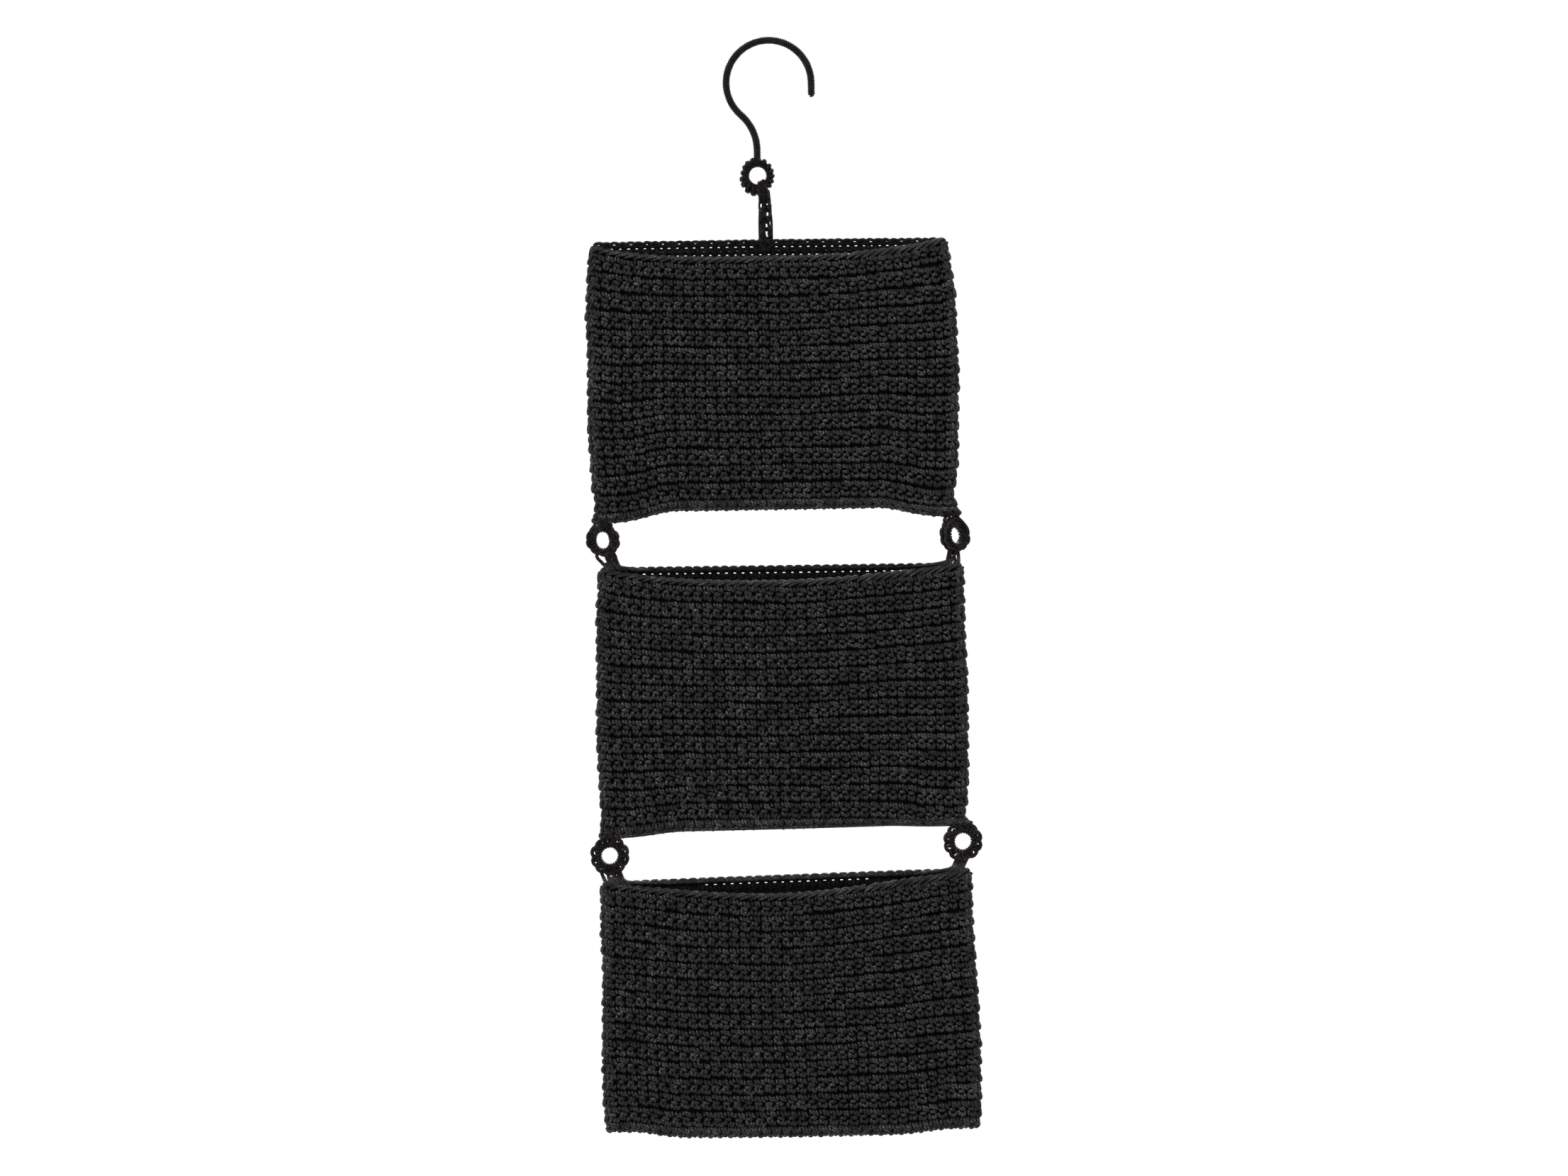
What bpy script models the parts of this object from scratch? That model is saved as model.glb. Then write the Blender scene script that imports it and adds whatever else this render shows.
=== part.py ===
"""Crocheted hanging organiser: a wrapped wire hook, a chain strap and three open-topped flat
pockets, one under another, linked at their corners by four crochet-covered rings.

Metres, +Z up, +X to the right and +Y towards the wall behind. The origin is the inside of the hook's
crown, where a rail carries it. Every joint's axis has an empty on it that carries what moves there.
"""

import math
from collections import namedtuple

import bmesh
import bpy
from mathutils import Vector

MM = 0.001

# Clearance between pieces that touch on the real object
GAP = 0.3 * MM

# Hook: steel wire with a yarn wrapping, bent to a crown, a reverse bend and a closed eye
WIRE_RADIUS = 1.5 * MM
WRAP_THICKNESS = 0.7 * MM
CROWN_RADIUS = 30 * MM
TIP_DROP = 8.5 * MM
STEM_OFFSET = 9.2 * MM
STEM_LENGTH = 7.4 * MM
EYE_RADIUS = 8.6 * MM
EYE_DEPTH = 92.8 * MM
EYE_COVER_RADIUS = 2.9 * MM
EYE_FILLET = 3 * MM
EYE_END_ANGLE = math.radians(-252)

# Strap: a loop over the eye's lower arc, and two chains that hang from it to the upper back rim.
# The loop's place and width are shares of the radius of the hole in the covered eye.
LOOP_OFFSET_SHARE = 0.49
LOOP_WIDTH_SHARE = 0.74
LOOP_THICKNESS = 1.8 * MM
LOOP_NECK_DEPTH = 12 * MM
LOOP_NECK_THICKNESS = 4.4 * MM
CHAIN_RADIUS = 1.75 * MM
CHAIN_LENGTH = 25 * MM
CHAIN_TOP_SPREAD = 3.8 * MM
CHAIN_FOOT_SPREAD = 5.2 * MM
STRAP_FOOT_X = -4.4 * MM

# Pockets: two crocheted panels, joined by a row of stitches down each side and along the bottom
POCKET_WIDTH = 262 * MM
PANEL_THICKNESS = 3.5 * MM
SIDE_SEAM_WIDTH = 4 * MM
SCALLOP_DEPTH = 1.1 * MM
ROW_PAIR = 11.75 * MM
MOUTH_DEPTH = 18 * MM
MOUTH_SAG_POWER = 2.2
BULGE_SIDE_POWER = 1.5
BULGE_RISE_POWER = 1.3
DROP_START = 0.55
DROP_END = 0.88

UPPER_HEIGHT = 189.7 * MM
MIDDLE_HEIGHT = 185 * MM
LOWER_HEIGHT = 183.5 * MM
UPPER_MOUTH_SAG = 14.5 * MM
MIDDLE_MOUTH_SAG = 11.5 * MM
LOWER_MOUTH_SAG = 13 * MM
UPPER_CORNER_DROP = 6.8 * MM
MIDDLE_CORNER_DROP = 1.2 * MM
LOWER_CORNER_DROP = -3 * MM

Pocket = namedtuple("Pocket", "name height mouth_sag corner_drop")
POCKETS = (
    Pocket("upper_pocket", UPPER_HEIGHT, UPPER_MOUTH_SAG, UPPER_CORNER_DROP),
    Pocket("middle_pocket", MIDDLE_HEIGHT, MIDDLE_MOUTH_SAG, MIDDLE_CORNER_DROP),
    Pocket("lower_pocket", LOWER_HEIGHT, LOWER_MOUTH_SAG, LOWER_CORNER_DROP),
)

# Links: at each bottom corner a covered ring hangs from a tie, and a second tie holds the next rim
RING_INSET = 7 * MM
RING_OUTER_RADIUS = 11.7 * MM
RING_HOLE_RADIUS = 5.4 * MM
RING_COVER_THICKNESS = 4.8 * MM
RING_CORE_RADIUS = 8 * MM
RING_CORE_WIRE_RADIUS = 1.5 * MM
COVER_SLIT = 0.5 * MM
TOP_TIE_WIDTH = 10 * MM
TOP_TIE_DEPTH = 5 * MM
TOP_TIE_HEIGHT = 1.9 * MM
BOTTOM_TIE_WIDTH = 8 * MM
BOTTOM_TIE_FLARE = 2 * MM
TAB_WIDTH = 8 * MM
TAB_HEIGHT = 4.5 * MM
TAB_TONGUE_RADIUS = 1.7 * MM
TAB_FOOT_HEIGHT = 0.8 * MM

UPPER_TIE_HEIGHT = 2.7 * MM
LOWER_TIE_HEIGHT = 1.2 * MM

Link = namedtuple("Link", "name bottom_tie_height left_turn right_turn")
LINKS = (
    Link("upper", UPPER_TIE_HEIGHT, 0.0, math.radians(57)),
    Link("lower", LOWER_TIE_HEIGHT, 0.0, 0.0),
)

# Sides, steps and points of the round shapes
CROWN_STEPS = 24
REVERSE_BEND_STEPS = 7
FILLET_STEPS = 4
EYE_STEPS = 24
RING_STEPS = 20
PANEL_COLUMNS = 18
PANEL_ROWS = 10
RIM_STEPS = 24
SCALLOP_POINTS = 4

SIDES = (("left", -1), ("right", 1))


def new_collection(name):
    collection = bpy.data.collections.new(name)
    bpy.context.scene.collection.children.link(collection)
    return collection


def new_material(name, colour, roughness, metallic=0.0):
    """A Principled material with one colour (linear RGB)."""
    material = bpy.data.materials.new(name)
    material.use_nodes = True
    shader = material.node_tree.nodes["Principled BSDF"]
    shader.inputs["Base Color"].default_value = (*colour, 1)
    shader.inputs["Roughness"].default_value = roughness
    shader.inputs["Metallic"].default_value = metallic
    return material


def file_under(piece, collection):
    """Moves an object to a collection."""
    for old in list(piece.users_collection):
        old.objects.unlink(piece)
    collection.objects.link(piece)


def finish(piece, name, material, carrier):
    """Names a piece, gives it its material and hangs it on the empty that carries it."""
    piece.name = name
    piece.data.name = name
    piece.data.materials.clear()
    piece.data.materials.append(material)
    file_under(piece, parts)
    if piece.type == "MESH":
        piece.data.shade_smooth()
    world = piece.matrix_world.copy()
    piece.parent = carrier
    piece.matrix_parent_inverse = carrier.matrix_world.inverted()
    piece.matrix_world = world
    return piece


def joint_empty(name, location, parent=None):
    """An empty on a joint's axis."""
    empty = bpy.data.objects.new(name, None)
    empty.empty_display_size = 0.01
    parts.objects.link(empty)
    empty.location = location
    bpy.context.view_layer.update()
    if parent:
        empty.parent = parent
        empty.matrix_parent_inverse = parent.matrix_world.inverted()
    bpy.context.view_layer.update()
    return empty


def tube(points, radius, resolution=2, end_radii=()):
    """A round cord along points. end_radii are shares of the radius at its first points."""
    curve = bpy.data.curves.new("tube", "CURVE")
    curve.dimensions = "3D"
    curve.bevel_depth = radius
    curve.bevel_resolution = resolution
    curve.use_fill_caps = True
    spline = curve.splines.new("POLY")
    spline.points.add(len(points) - 1)
    for place, point in zip(points, spline.points):
        point.co = (*place, 1)
    for share, point in zip(end_radii, spline.points):
        point.radius = share
    piece = bpy.data.objects.new("tube", curve)
    bpy.context.scene.collection.objects.link(piece)
    return piece


def outline_plate(outlines, half_depth):
    """Flat outlines in the local XY plane, the later ones being holes, with a depth along Z."""
    curve = bpy.data.curves.new("plate", "CURVE")
    curve.dimensions = "2D"
    curve.fill_mode = "BOTH"
    curve.extrude = half_depth
    for outline in outlines:
        spline = curve.splines.new("POLY")
        spline.points.add(len(outline) - 1)
        spline.use_cyclic_u = True
        for (x, y), point in zip(outline, spline.points):
            point.co = (x, y, 0, 1)
    piece = bpy.data.objects.new("plate", curve)
    bpy.context.scene.collection.objects.link(piece)
    return piece


def as_mesh(piece):
    """Turns a curve object into a mesh object with its caps joined on."""
    bpy.context.view_layer.update()
    evaluated = piece.evaluated_get(bpy.context.evaluated_depsgraph_get())
    mesh = bpy.data.meshes.new_from_object(evaluated)
    shape = bmesh.new()
    shape.from_mesh(mesh)
    bmesh.ops.remove_doubles(shape, verts=shape.verts, dist=0.001 * MM)
    shape.to_mesh(mesh)
    shape.free()
    solid = bpy.data.objects.new("solid", mesh)
    solid.matrix_world = piece.matrix_world.copy()
    bpy.context.scene.collection.objects.link(solid)
    curve = piece.data
    bpy.data.objects.remove(piece)
    bpy.data.curves.remove(curve)
    return solid


def as_cutter(piece, name):
    """Hides an object that is only there to cut others."""
    piece.name = name
    piece.hide_render = True
    piece.display_type = "WIRE"
    file_under(piece, cutters)
    return piece


def cut(piece, cutter):
    """Takes the cutter's shape out of a piece."""
    boolean = piece.modifiers.new("cut", "BOOLEAN")
    boolean.operation = "DIFFERENCE"
    boolean.solver = "EXACT"
    boolean.object = cutter


def arc(centre, radius, start, end, steps):
    """Points in the XZ plane from one angle to another about a centre, both ends included."""
    angles = [start + (end - start) * step / steps for step in range(steps + 1)]
    return [
        (centre[0] + radius * math.cos(a), 0, centre[1] + radius * math.sin(a)) for a in angles
    ]


def smooth_step(start, end, value):
    """Goes from 0 at start to 1 at end, level at both."""
    share = min(max((value - start) / (end - start), 0), 1)
    return share * share * (3 - 2 * share)


for leftover in list(bpy.data.objects):
    bpy.data.objects.remove(leftover)

parts = new_collection("hanging_organiser")
cutters = new_collection("cutters")

steel = new_material("bright_steel_wire", (0.45, 0.45, 0.46), 0.35, 1.0)
plastic = new_material("ring_plastic", (0.05, 0.05, 0.05), 0.45)
wrapping = new_material("wrapped_yarn", (0.012, 0.011, 0.011), 0.6)
crochet = new_material("crocheted_cord", (0.010, 0.0095, 0.009), 0.65)
edging = new_material("crocheted_edging", (0.013, 0.012, 0.0115), 0.6)


# Hook
wrap_radius = WIRE_RADIUS + GAP + WRAP_THICKNESS
bore_radius = WIRE_RADIUS + GAP
crown_centre = (0, wrap_radius - CROWN_RADIUS)
stem_x = -STEM_OFFSET
eye_centre = (stem_x, -EYE_DEPTH)

fillet_height = math.sqrt(EYE_RADIUS**2 + 2 * EYE_RADIUS * EYE_FILLET)
fillet_centre = (stem_x + EYE_FILLET, eye_centre[1] + fillet_height)
fillet_turn = math.atan2(fillet_height, EYE_FILLET)
stem_top = fillet_centre[1] + STEM_LENGTH
reverse_angle = 2 * math.atan2(CROWN_RADIUS - STEM_OFFSET, crown_centre[1] - stem_top)
reverse_radius = (CROWN_RADIUS * math.cos(reverse_angle) - STEM_OFFSET) / (
    1 - math.cos(reverse_angle)
)
reverse_centre = (stem_x - reverse_radius, stem_top)


def hook_path(tip_extra, eye_end):
    """The wire's centre line, from its tip over the crown and down the stem, round the eye."""
    tip = (CROWN_RADIUS, 0, crown_centre[1] - TIP_DROP - tip_extra)
    crown = arc(crown_centre, CROWN_RADIUS, 0, math.pi + reverse_angle, CROWN_STEPS)
    reverse = arc(reverse_centre, reverse_radius, reverse_angle, 0, REVERSE_BEND_STEPS)
    fillet = arc(fillet_centre, EYE_FILLET, math.pi, math.pi + fillet_turn, FILLET_STEPS)
    eye = arc(eye_centre, EYE_RADIUS, fillet_turn, eye_end, EYE_STEPS)
    return [tip, *crown, *reverse[1:], *fillet, *eye[1:]]


hook = joint_empty("rail_seat", (0, 0, 0))
finish(tube(hook_path(0, EYE_END_ANGLE), WIRE_RADIUS), "hook_wire", steel, hook)

end_clearance = GAP / EYE_RADIUS
wire_bore = as_mesh(tube(hook_path(GAP, EYE_END_ANGLE - end_clearance), bore_radius))
as_cutter(wire_bore, "wire_bore")

wrap_foot = eye_centre[1] + EYE_RADIUS + EYE_COVER_RADIUS + GAP
tip_cap = GAP + WRAP_THICKNESS
sleeve = hook_path(tip_cap, EYE_END_ANGLE)
tip_x, _, tip_z = sleeve[0]
rounded_tip = [sleeve[0], (tip_x, 0, tip_z + WRAP_THICKNESS / 2), (tip_x, 0, tip_z + wrap_radius)]
stem_points = [p for p in sleeve[1 : CROWN_STEPS + REVERSE_BEND_STEPS + 2] if p[2] > wrap_foot]
sleeve = [*rounded_tip, *stem_points, (stem_x, 0, wrap_foot)]
hook_wrap = as_mesh(tube(sleeve, wrap_radius, end_radii=(0.72, 0.9)))
finish(hook_wrap, "hook_wrap", wrapping, hook)
cut(hook_wrap, wire_bore)

bpy.ops.mesh.primitive_torus_add(
    major_radius=EYE_RADIUS,
    minor_radius=EYE_COVER_RADIUS,
    major_segments=EYE_STEPS,
    minor_segments=10,
    location=(eye_centre[0], 0, eye_centre[1]),
    rotation=(math.pi / 2, 0, 0),
)
eye_cover = finish(bpy.context.object, "hook_eye_cover", crochet, hook)
cut(eye_cover, wire_bore)


# Strap
eye_hole_radius = EYE_RADIUS - EYE_COVER_RADIUS
loop_offset = LOOP_OFFSET_SHARE * eye_hole_radius
loop_width = LOOP_WIDTH_SHARE * eye_hole_radius
loop_x = stem_x + loop_offset
near_edge = loop_offset - loop_width / 2
far_edge = loop_offset + loop_width / 2
cover_foot = math.sqrt((EYE_RADIUS + EYE_COVER_RADIUS) ** 2 - near_edge**2)
cover_top = math.sqrt(eye_hole_radius**2 - far_edge**2)
loop_axis_z = eye_centre[1] - (cover_foot + cover_top) / 2
loop_bore = (cover_foot - cover_top) / 2 + GAP
loop_outer = loop_bore + LOOP_THICKNESS
neck_z = loop_axis_z - LOOP_NECK_DEPTH


def teardrop(radius, foot_depth, foot_half_width, steps=12):
    """A round head that tapers to a foot below it, as an outline of (y, z) points."""
    shoulder = math.radians(-32)
    head = arc((0, loop_axis_z), radius, shoulder, math.pi - shoulder, steps)
    outline = [(point[0], point[2]) for point in head]
    foot_z = loop_axis_z - foot_depth
    if foot_half_width:
        outline += [(-foot_half_width, foot_z), (foot_half_width, foot_z)]
    else:
        outline.append((0, foot_z))
    return outline


outer_loop = teardrop(loop_outer, LOOP_NECK_DEPTH, LOOP_NECK_THICKNESS / 2)
inner_loop = teardrop(loop_bore, loop_bore + LOOP_THICKNESS, 0)
ACROSS = (math.pi / 2, 0, math.pi / 2)
FACING = (math.pi / 2, 0, 0)

swing = joint_empty("strap_swing", (loop_x, 0, loop_axis_z), hook)
strap_loop = outline_plate([outer_loop, inner_loop], loop_width / 2)
strap_loop.rotation_euler = ACROSS
strap_loop.location.x = loop_x
strap_loop = as_mesh(strap_loop)
finish(strap_loop, "strap_loop", edging, swing)

twist = joint_empty("strap_twist", (loop_x, 0, neck_z), swing)
panel_plane = (PANEL_THICKNESS + GAP) / 2
rim_radius = PANEL_THICKNESS / 2
chain_top = neck_z - GAP
chain_foot = chain_top - CHAIN_LENGTH
upper_rim_centre = chain_foot - GAP - rim_radius
for side, sign in SIDES:
    head = Vector((loop_x + sign * CHAIN_TOP_SPREAD / 2, 0, chain_top))
    foot = Vector((STRAP_FOOT_X + sign * CHAIN_FOOT_SPREAD / 2, panel_plane, chain_foot))
    fall = Vector((0, 0, CHAIN_LENGTH / 5))
    route = [head, head - fall, (head + foot) / 2, foot + fall, foot]
    finish(tube(route, CHAIN_RADIUS, resolution=3), f"strap_{side}_chain", edging, twist)


# Pockets
half_width = POCKET_WIDTH / 2
panel_half = half_width - SIDE_SEAM_WIDTH - GAP
ring_x = half_width - RING_INSET
seam_radius = PANEL_THICKNESS + GAP / 2
RIM_POINTS = [-half_width + POCKET_WIDTH * step / RIM_STEPS for step in range(RIM_STEPS + 1)]


def seam_height(pocket, x):
    """How far the bottom seam's centre line lies below the middle of the seam, at x."""
    return -pocket.corner_drop * smooth_step(DROP_START, DROP_END, abs(x) / half_width)


def mouth_sag(pocket, x):
    """How far the front rim hangs below the back rim, at x."""
    share = min(abs(x) / panel_half, 1)
    return pocket.mouth_sag * (1 - share**MOUTH_SAG_POWER)


def bulge(x, rise):
    """How far the front panel stands away from the back one, at a share of its height."""
    share = min(abs(x) / panel_half, 1)
    across = max(math.cos(share * math.pi / 2), 0) ** BULGE_SIDE_POWER
    return MOUTH_DEPTH * across * rise**BULGE_RISE_POWER


def scalloped_bar(length, inner_x, outer_x):
    """A side seam's outline, with one bump for each pair of rows, from 0 up to its length."""
    bumps = max(round(length / ROW_PAIR), 1)
    points = [(inner_x, length), (inner_x, 0)]
    outward = 1 if outer_x > inner_x else -1
    for step in range(bumps * SCALLOP_POINTS + 1):
        wave = abs(math.sin(math.pi * step / SCALLOP_POINTS))
        depth = SCALLOP_DEPTH * (1 - wave)
        points.append((outer_x - outward * depth, length * step / (bumps * SCALLOP_POINTS)))
    return points


def make_pocket(pocket, rim_centre, carrier):
    """One pocket's seven pieces. Returns the height of its bottom seam's centre at the corners."""
    seam_middle = rim_centre + rim_radius - pocket.height + seam_radius
    panel_top = rim_centre - rim_radius - GAP

    def panel_foot(x):
        return seam_middle + seam_height(pocket, x) + seam_radius + GAP

    inner_points = [x * panel_half / half_width for x in RIM_POINTS]
    back = [(x, panel_foot(x)) for x in inner_points]
    back += [(panel_half, panel_top), (-panel_half, panel_top)]
    plate = outline_plate([back], PANEL_THICKNESS / 2)
    plate.rotation_euler = FACING
    plate.location.y = panel_plane
    finish(as_mesh(plate), f"{pocket.name}_back_panel", crochet, carrier)

    bpy.ops.mesh.primitive_grid_add(x_subdivisions=PANEL_COLUMNS, y_subdivisions=PANEL_ROWS, size=2)
    front = bpy.context.object
    for vertex in front.data.vertices:
        x = vertex.co.x * panel_half
        rise = (vertex.co.y + 1) / 2
        low = panel_foot(x)
        high = panel_top - mouth_sag(pocket, x)
        vertex.co = (x, -panel_plane - bulge(x, rise), low + (high - low) * rise)
    wall = front.modifiers.new("wall", "SOLIDIFY")
    wall.thickness = PANEL_THICKNESS
    wall.offset = 0
    wall.use_even_offset = True
    finish(front, f"{pocket.name}_front_panel", crochet, carrier)

    back_rim = [(x, panel_plane, rim_centre) for x in (-half_width, 0, half_width)]
    finish(tube(back_rim, rim_radius), f"{pocket.name}_back_rim", edging, carrier)
    front_rim = [
        (x, -panel_plane - bulge(x, 1), rim_centre - mouth_sag(pocket, x)) for x in RIM_POINTS
    ]
    front_rim[0] = (-half_width, -panel_plane, rim_centre)
    front_rim[-1] = (half_width, -panel_plane, rim_centre)
    front_rim.insert(1, (-panel_half, -panel_plane, rim_centre))
    front_rim.insert(-1, (panel_half, -panel_plane, rim_centre))
    finish(tube(front_rim, rim_radius), f"{pocket.name}_front_rim", edging, carrier)

    seam = [(x, 0, seam_middle + seam_height(pocket, x)) for x in RIM_POINTS]
    finish(tube(seam, seam_radius), f"{pocket.name}_bottom_seam", edging, carrier)
    seam_corner = seam[0][2]
    bar_foot = seam_corner + seam_radius + GAP
    for side, sign in SIDES:
        inner = sign * (half_width - SIDE_SEAM_WIDTH)
        bar = outline_plate(
            [scalloped_bar(panel_top - bar_foot, inner, sign * half_width)], seam_radius
        )
        bar.rotation_euler = FACING
        bar.location.z = bar_foot
        finish(as_mesh(bar), f"{pocket.name}_{side}_side_seam", edging, carrier)
    return seam_corner


# Links
def ring_cover_profile(outer_steps=11, inner_steps=7):
    """The cover's section, clockwise from the slit in its outer edge, and back round its bore."""
    middle = (RING_OUTER_RADIUS + RING_HOLE_RADIUS) / 2
    half_band = (RING_OUTER_RADIUS - RING_HOLE_RADIUS) / 2
    half_depth = RING_COVER_THICKNESS / 2
    bore = RING_CORE_WIRE_RADIUS + GAP
    outer_lip = math.asin(COVER_SLIT / 2 / half_depth)
    inner_lip = math.asin(COVER_SLIT / 2 / bore)
    points = []
    for step in range(outer_steps + 1):
        angle = -outer_lip - (2 * math.pi - 2 * outer_lip) * step / outer_steps
        points.append((middle + half_band * math.cos(angle), 0, half_depth * math.sin(angle)))
    for step in range(inner_steps + 1):
        angle = inner_lip + (2 * math.pi - 2 * inner_lip) * step / inner_steps
        points.append((RING_CORE_RADIUS + bore * math.cos(angle), 0, bore * math.sin(angle)))
    return points


def make_ring(name, centre, turn, carrier):
    """A stiff ring in its crocheted cover, turned about the vertical."""
    facing = (math.pi / 2, 0, turn)
    bpy.ops.mesh.primitive_torus_add(
        major_radius=RING_CORE_RADIUS,
        minor_radius=RING_CORE_WIRE_RADIUS,
        major_segments=RING_STEPS,
        minor_segments=6,
        location=centre,
        rotation=facing,
    )
    finish(bpy.context.object, name, plastic, carrier)

    profile = ring_cover_profile()
    edges = [(index, (index + 1) % len(profile)) for index in range(len(profile))]
    mesh = bpy.data.meshes.new("ring_cover")
    mesh.from_pydata(profile, edges, [])
    cover = bpy.data.objects.new("ring_cover", mesh)
    bpy.context.scene.collection.objects.link(cover)
    cover.location = centre
    cover.rotation_euler = facing
    screw = cover.modifiers.new("round", "SCREW")
    screw.steps = RING_STEPS
    screw.render_steps = RING_STEPS
    screw.use_merge_vertices = True
    screw.merge_threshold = 0.01 * MM
    bpy.context.view_layer.update()
    finish(cover, f"{name}_cover", crochet, carrier)


def make_tie(name, outline, half_depth, centre, cutter, carrier):
    """A flat bundle of stitches with an outline seen from the front, hollowed round a ring."""
    tie = outline_plate([outline], half_depth)
    tie.rotation_euler = FACING
    tie.location.x = centre[0]
    tie = as_mesh(tie)
    finish(tie, name, edging, carrier)
    cut(tie, cutter)


def make_tab(name, x, foot, carrier):
    """A tongue that stands on a rim's corner, with a foot over both rims and a round head."""
    centre = foot + TAB_HEIGHT - TAB_TONGUE_RADIUS
    foot_half = panel_plane + rim_radius / 2
    step = foot + TAB_FOOT_HEIGHT
    head = arc((0, centre), TAB_TONGUE_RADIUS, 0, math.pi, 8)
    profile = [(foot_half, foot), (foot_half, step), (TAB_TONGUE_RADIUS, step)]
    profile += [(point[0], point[2]) for point in head]
    profile += [(-TAB_TONGUE_RADIUS, step), (-foot_half, step), (-foot_half, foot)]
    tab = outline_plate([profile], TAB_WIDTH / 2)
    tab.rotation_euler = ACROSS
    tab.location.x = x
    finish(as_mesh(tab), name, edging, carrier)


def make_link(link, seam_corner, upper_carrier, next_name):
    """Both rings of a link with their ties. Returns the next pocket's rim height and carrier."""
    fold = joint_empty(f"{link.name}_link_fold", (0, 0, seam_corner), upper_carrier)
    tie_top = seam_corner - seam_radius - GAP
    ring_top = tie_top - TOP_TIE_HEIGHT - GAP
    ring_z = ring_top - RING_OUTER_RADIUS
    ring_foot = ring_top - 2 * RING_OUTER_RADIUS
    tie_foot = ring_foot - GAP - link.bottom_tie_height
    tongue_axis = tie_foot - GAP - TAB_TONGUE_RADIUS
    tab_foot = tie_foot - GAP - TAB_HEIGHT
    rim_centre = tab_foot - GAP - rim_radius
    saddle = TOP_TIE_WIDTH / 2
    recess = RING_OUTER_RADIUS + GAP
    saddle_drop = recess - math.sqrt(recess**2 - saddle**2)
    top_lip = ring_top + GAP - saddle_drop
    bottom_lip = ring_foot - GAP + saddle_drop
    flare = BOTTOM_TIE_WIDTH / 2 + BOTTOM_TIE_FLARE

    next_pocket = joint_empty(f"{next_name}_fold", (0, 0, tongue_axis), fold)
    for (side, sign), turn in zip(SIDES, (link.left_turn, link.right_turn)):
        centre = (sign * ring_x, 0, ring_z)
        name = f"{link.name}_{side}_ring"
        turning = joint_empty(f"{name}_turn", centre, fold)
        make_ring(name, centre, turn, turning)
        bpy.ops.mesh.primitive_uv_sphere_add(
            radius=recess, segments=40, ring_count=24, location=centre
        )
        clearance = as_cutter(bpy.context.object, f"{name}_clearance")
        top = [(-saddle, top_lip), (saddle, top_lip), (saddle, tie_top), (-saddle, tie_top)]
        make_tie(f"{name}_top_tie", top, TOP_TIE_DEPTH / 2, centre, clearance, fold)
        foot = BOTTOM_TIE_WIDTH / 2
        bottom = [(-foot, tie_foot), (foot, tie_foot), (flare, bottom_lip), (-flare, bottom_lip)]
        make_tie(f"{name}_bottom_tie", bottom, TAB_TONGUE_RADIUS, centre, clearance, fold)
        make_tab(f"{next_name}_{side}_tab", sign * ring_x, tab_foot, next_pocket)
    return rim_centre, next_pocket


rim_height = upper_rim_centre
holder = joint_empty("upper_pocket_fold", (STRAP_FOOT_X, panel_plane, upper_rim_centre), twist)
for number, this_pocket in enumerate(POCKETS):
    corner = make_pocket(this_pocket, rim_height, holder)
    if number < len(LINKS):
        rim_height, holder = make_link(LINKS[number], corner, holder, POCKETS[number + 1].name)
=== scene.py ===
"""Looks of a crocheted hanging organiser, built stitch by stitch over its CAD frame.

A wrapped wire hook, a chain strap and three flat pockets of black twisted cord, linked at their
corners by four crochet-covered rings. Metres, +Z up, the wall behind is towards +Y.
"""

import math

import bpy
import numpy as np
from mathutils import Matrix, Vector


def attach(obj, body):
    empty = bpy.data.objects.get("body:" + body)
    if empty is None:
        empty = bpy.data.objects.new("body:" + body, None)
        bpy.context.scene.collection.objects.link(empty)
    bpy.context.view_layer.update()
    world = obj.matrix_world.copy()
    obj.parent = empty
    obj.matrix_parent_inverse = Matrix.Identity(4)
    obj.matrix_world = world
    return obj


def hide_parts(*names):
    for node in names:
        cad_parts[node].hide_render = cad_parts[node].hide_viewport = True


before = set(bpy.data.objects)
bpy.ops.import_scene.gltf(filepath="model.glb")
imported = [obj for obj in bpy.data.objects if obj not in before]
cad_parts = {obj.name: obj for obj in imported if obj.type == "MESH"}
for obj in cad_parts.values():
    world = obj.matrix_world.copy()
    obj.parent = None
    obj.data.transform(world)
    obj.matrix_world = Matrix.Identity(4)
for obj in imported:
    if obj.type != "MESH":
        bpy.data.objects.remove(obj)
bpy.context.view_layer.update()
scene = bpy.context.scene
MM = 0.001


# Camera and light: straight on, and rolled a little, because the organiser hangs 1.3 degrees askew
# in its picture. Plain studio light, with the brightest of it from above and in front.
VIEW_DISTANCE = 2.5
VIEW_WIDTH = 1.106
VIEW_ROLL = math.radians(1.33)
SENSOR_WIDTH = 36
ROOM_LIGHT = 0.22
camera_data = bpy.data.cameras.new("camera")
camera_data.sensor_width = SENSOR_WIDTH
camera_data.lens = SENSOR_WIDTH * VIEW_DISTANCE / VIEW_WIDTH
camera = bpy.data.objects.new("camera", camera_data)
camera.location = (2.6 * MM, -VIEW_DISTANCE, -384 * MM)
camera.rotation_euler = (math.radians(90), VIEW_ROLL, 0)
scene.collection.objects.link(camera)
scene.camera = camera
scene.view_settings.view_transform = "Standard"


def linear(hex_colour):
    """An sRGB hex colour as linear RGBA."""
    parts = [int(hex_colour[i : i + 2], 16) / 255 for i in (1, 3, 5)]
    return [*(c / 12.92 if c <= 0.04045 else ((c + 0.055) / 1.055) ** 2.4 for c in parts), 1]


def add_node(tree, kind, settings=(), **links):
    """A node with its settings, and its inputs' values or links by name (spaces as underscores)."""
    node = tree.nodes.new(kind)
    for key, value in dict(settings).items():
        setattr(node, key, value)
    for key, value in links.items():
        socket = node.inputs[int(key[1:]) if key[0] == "_" else key.replace("_", " ")]
        if isinstance(value, bpy.types.NodeSocket):
            tree.links.new(value, socket)
        else:
            socket.default_value = value
    return node


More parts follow.
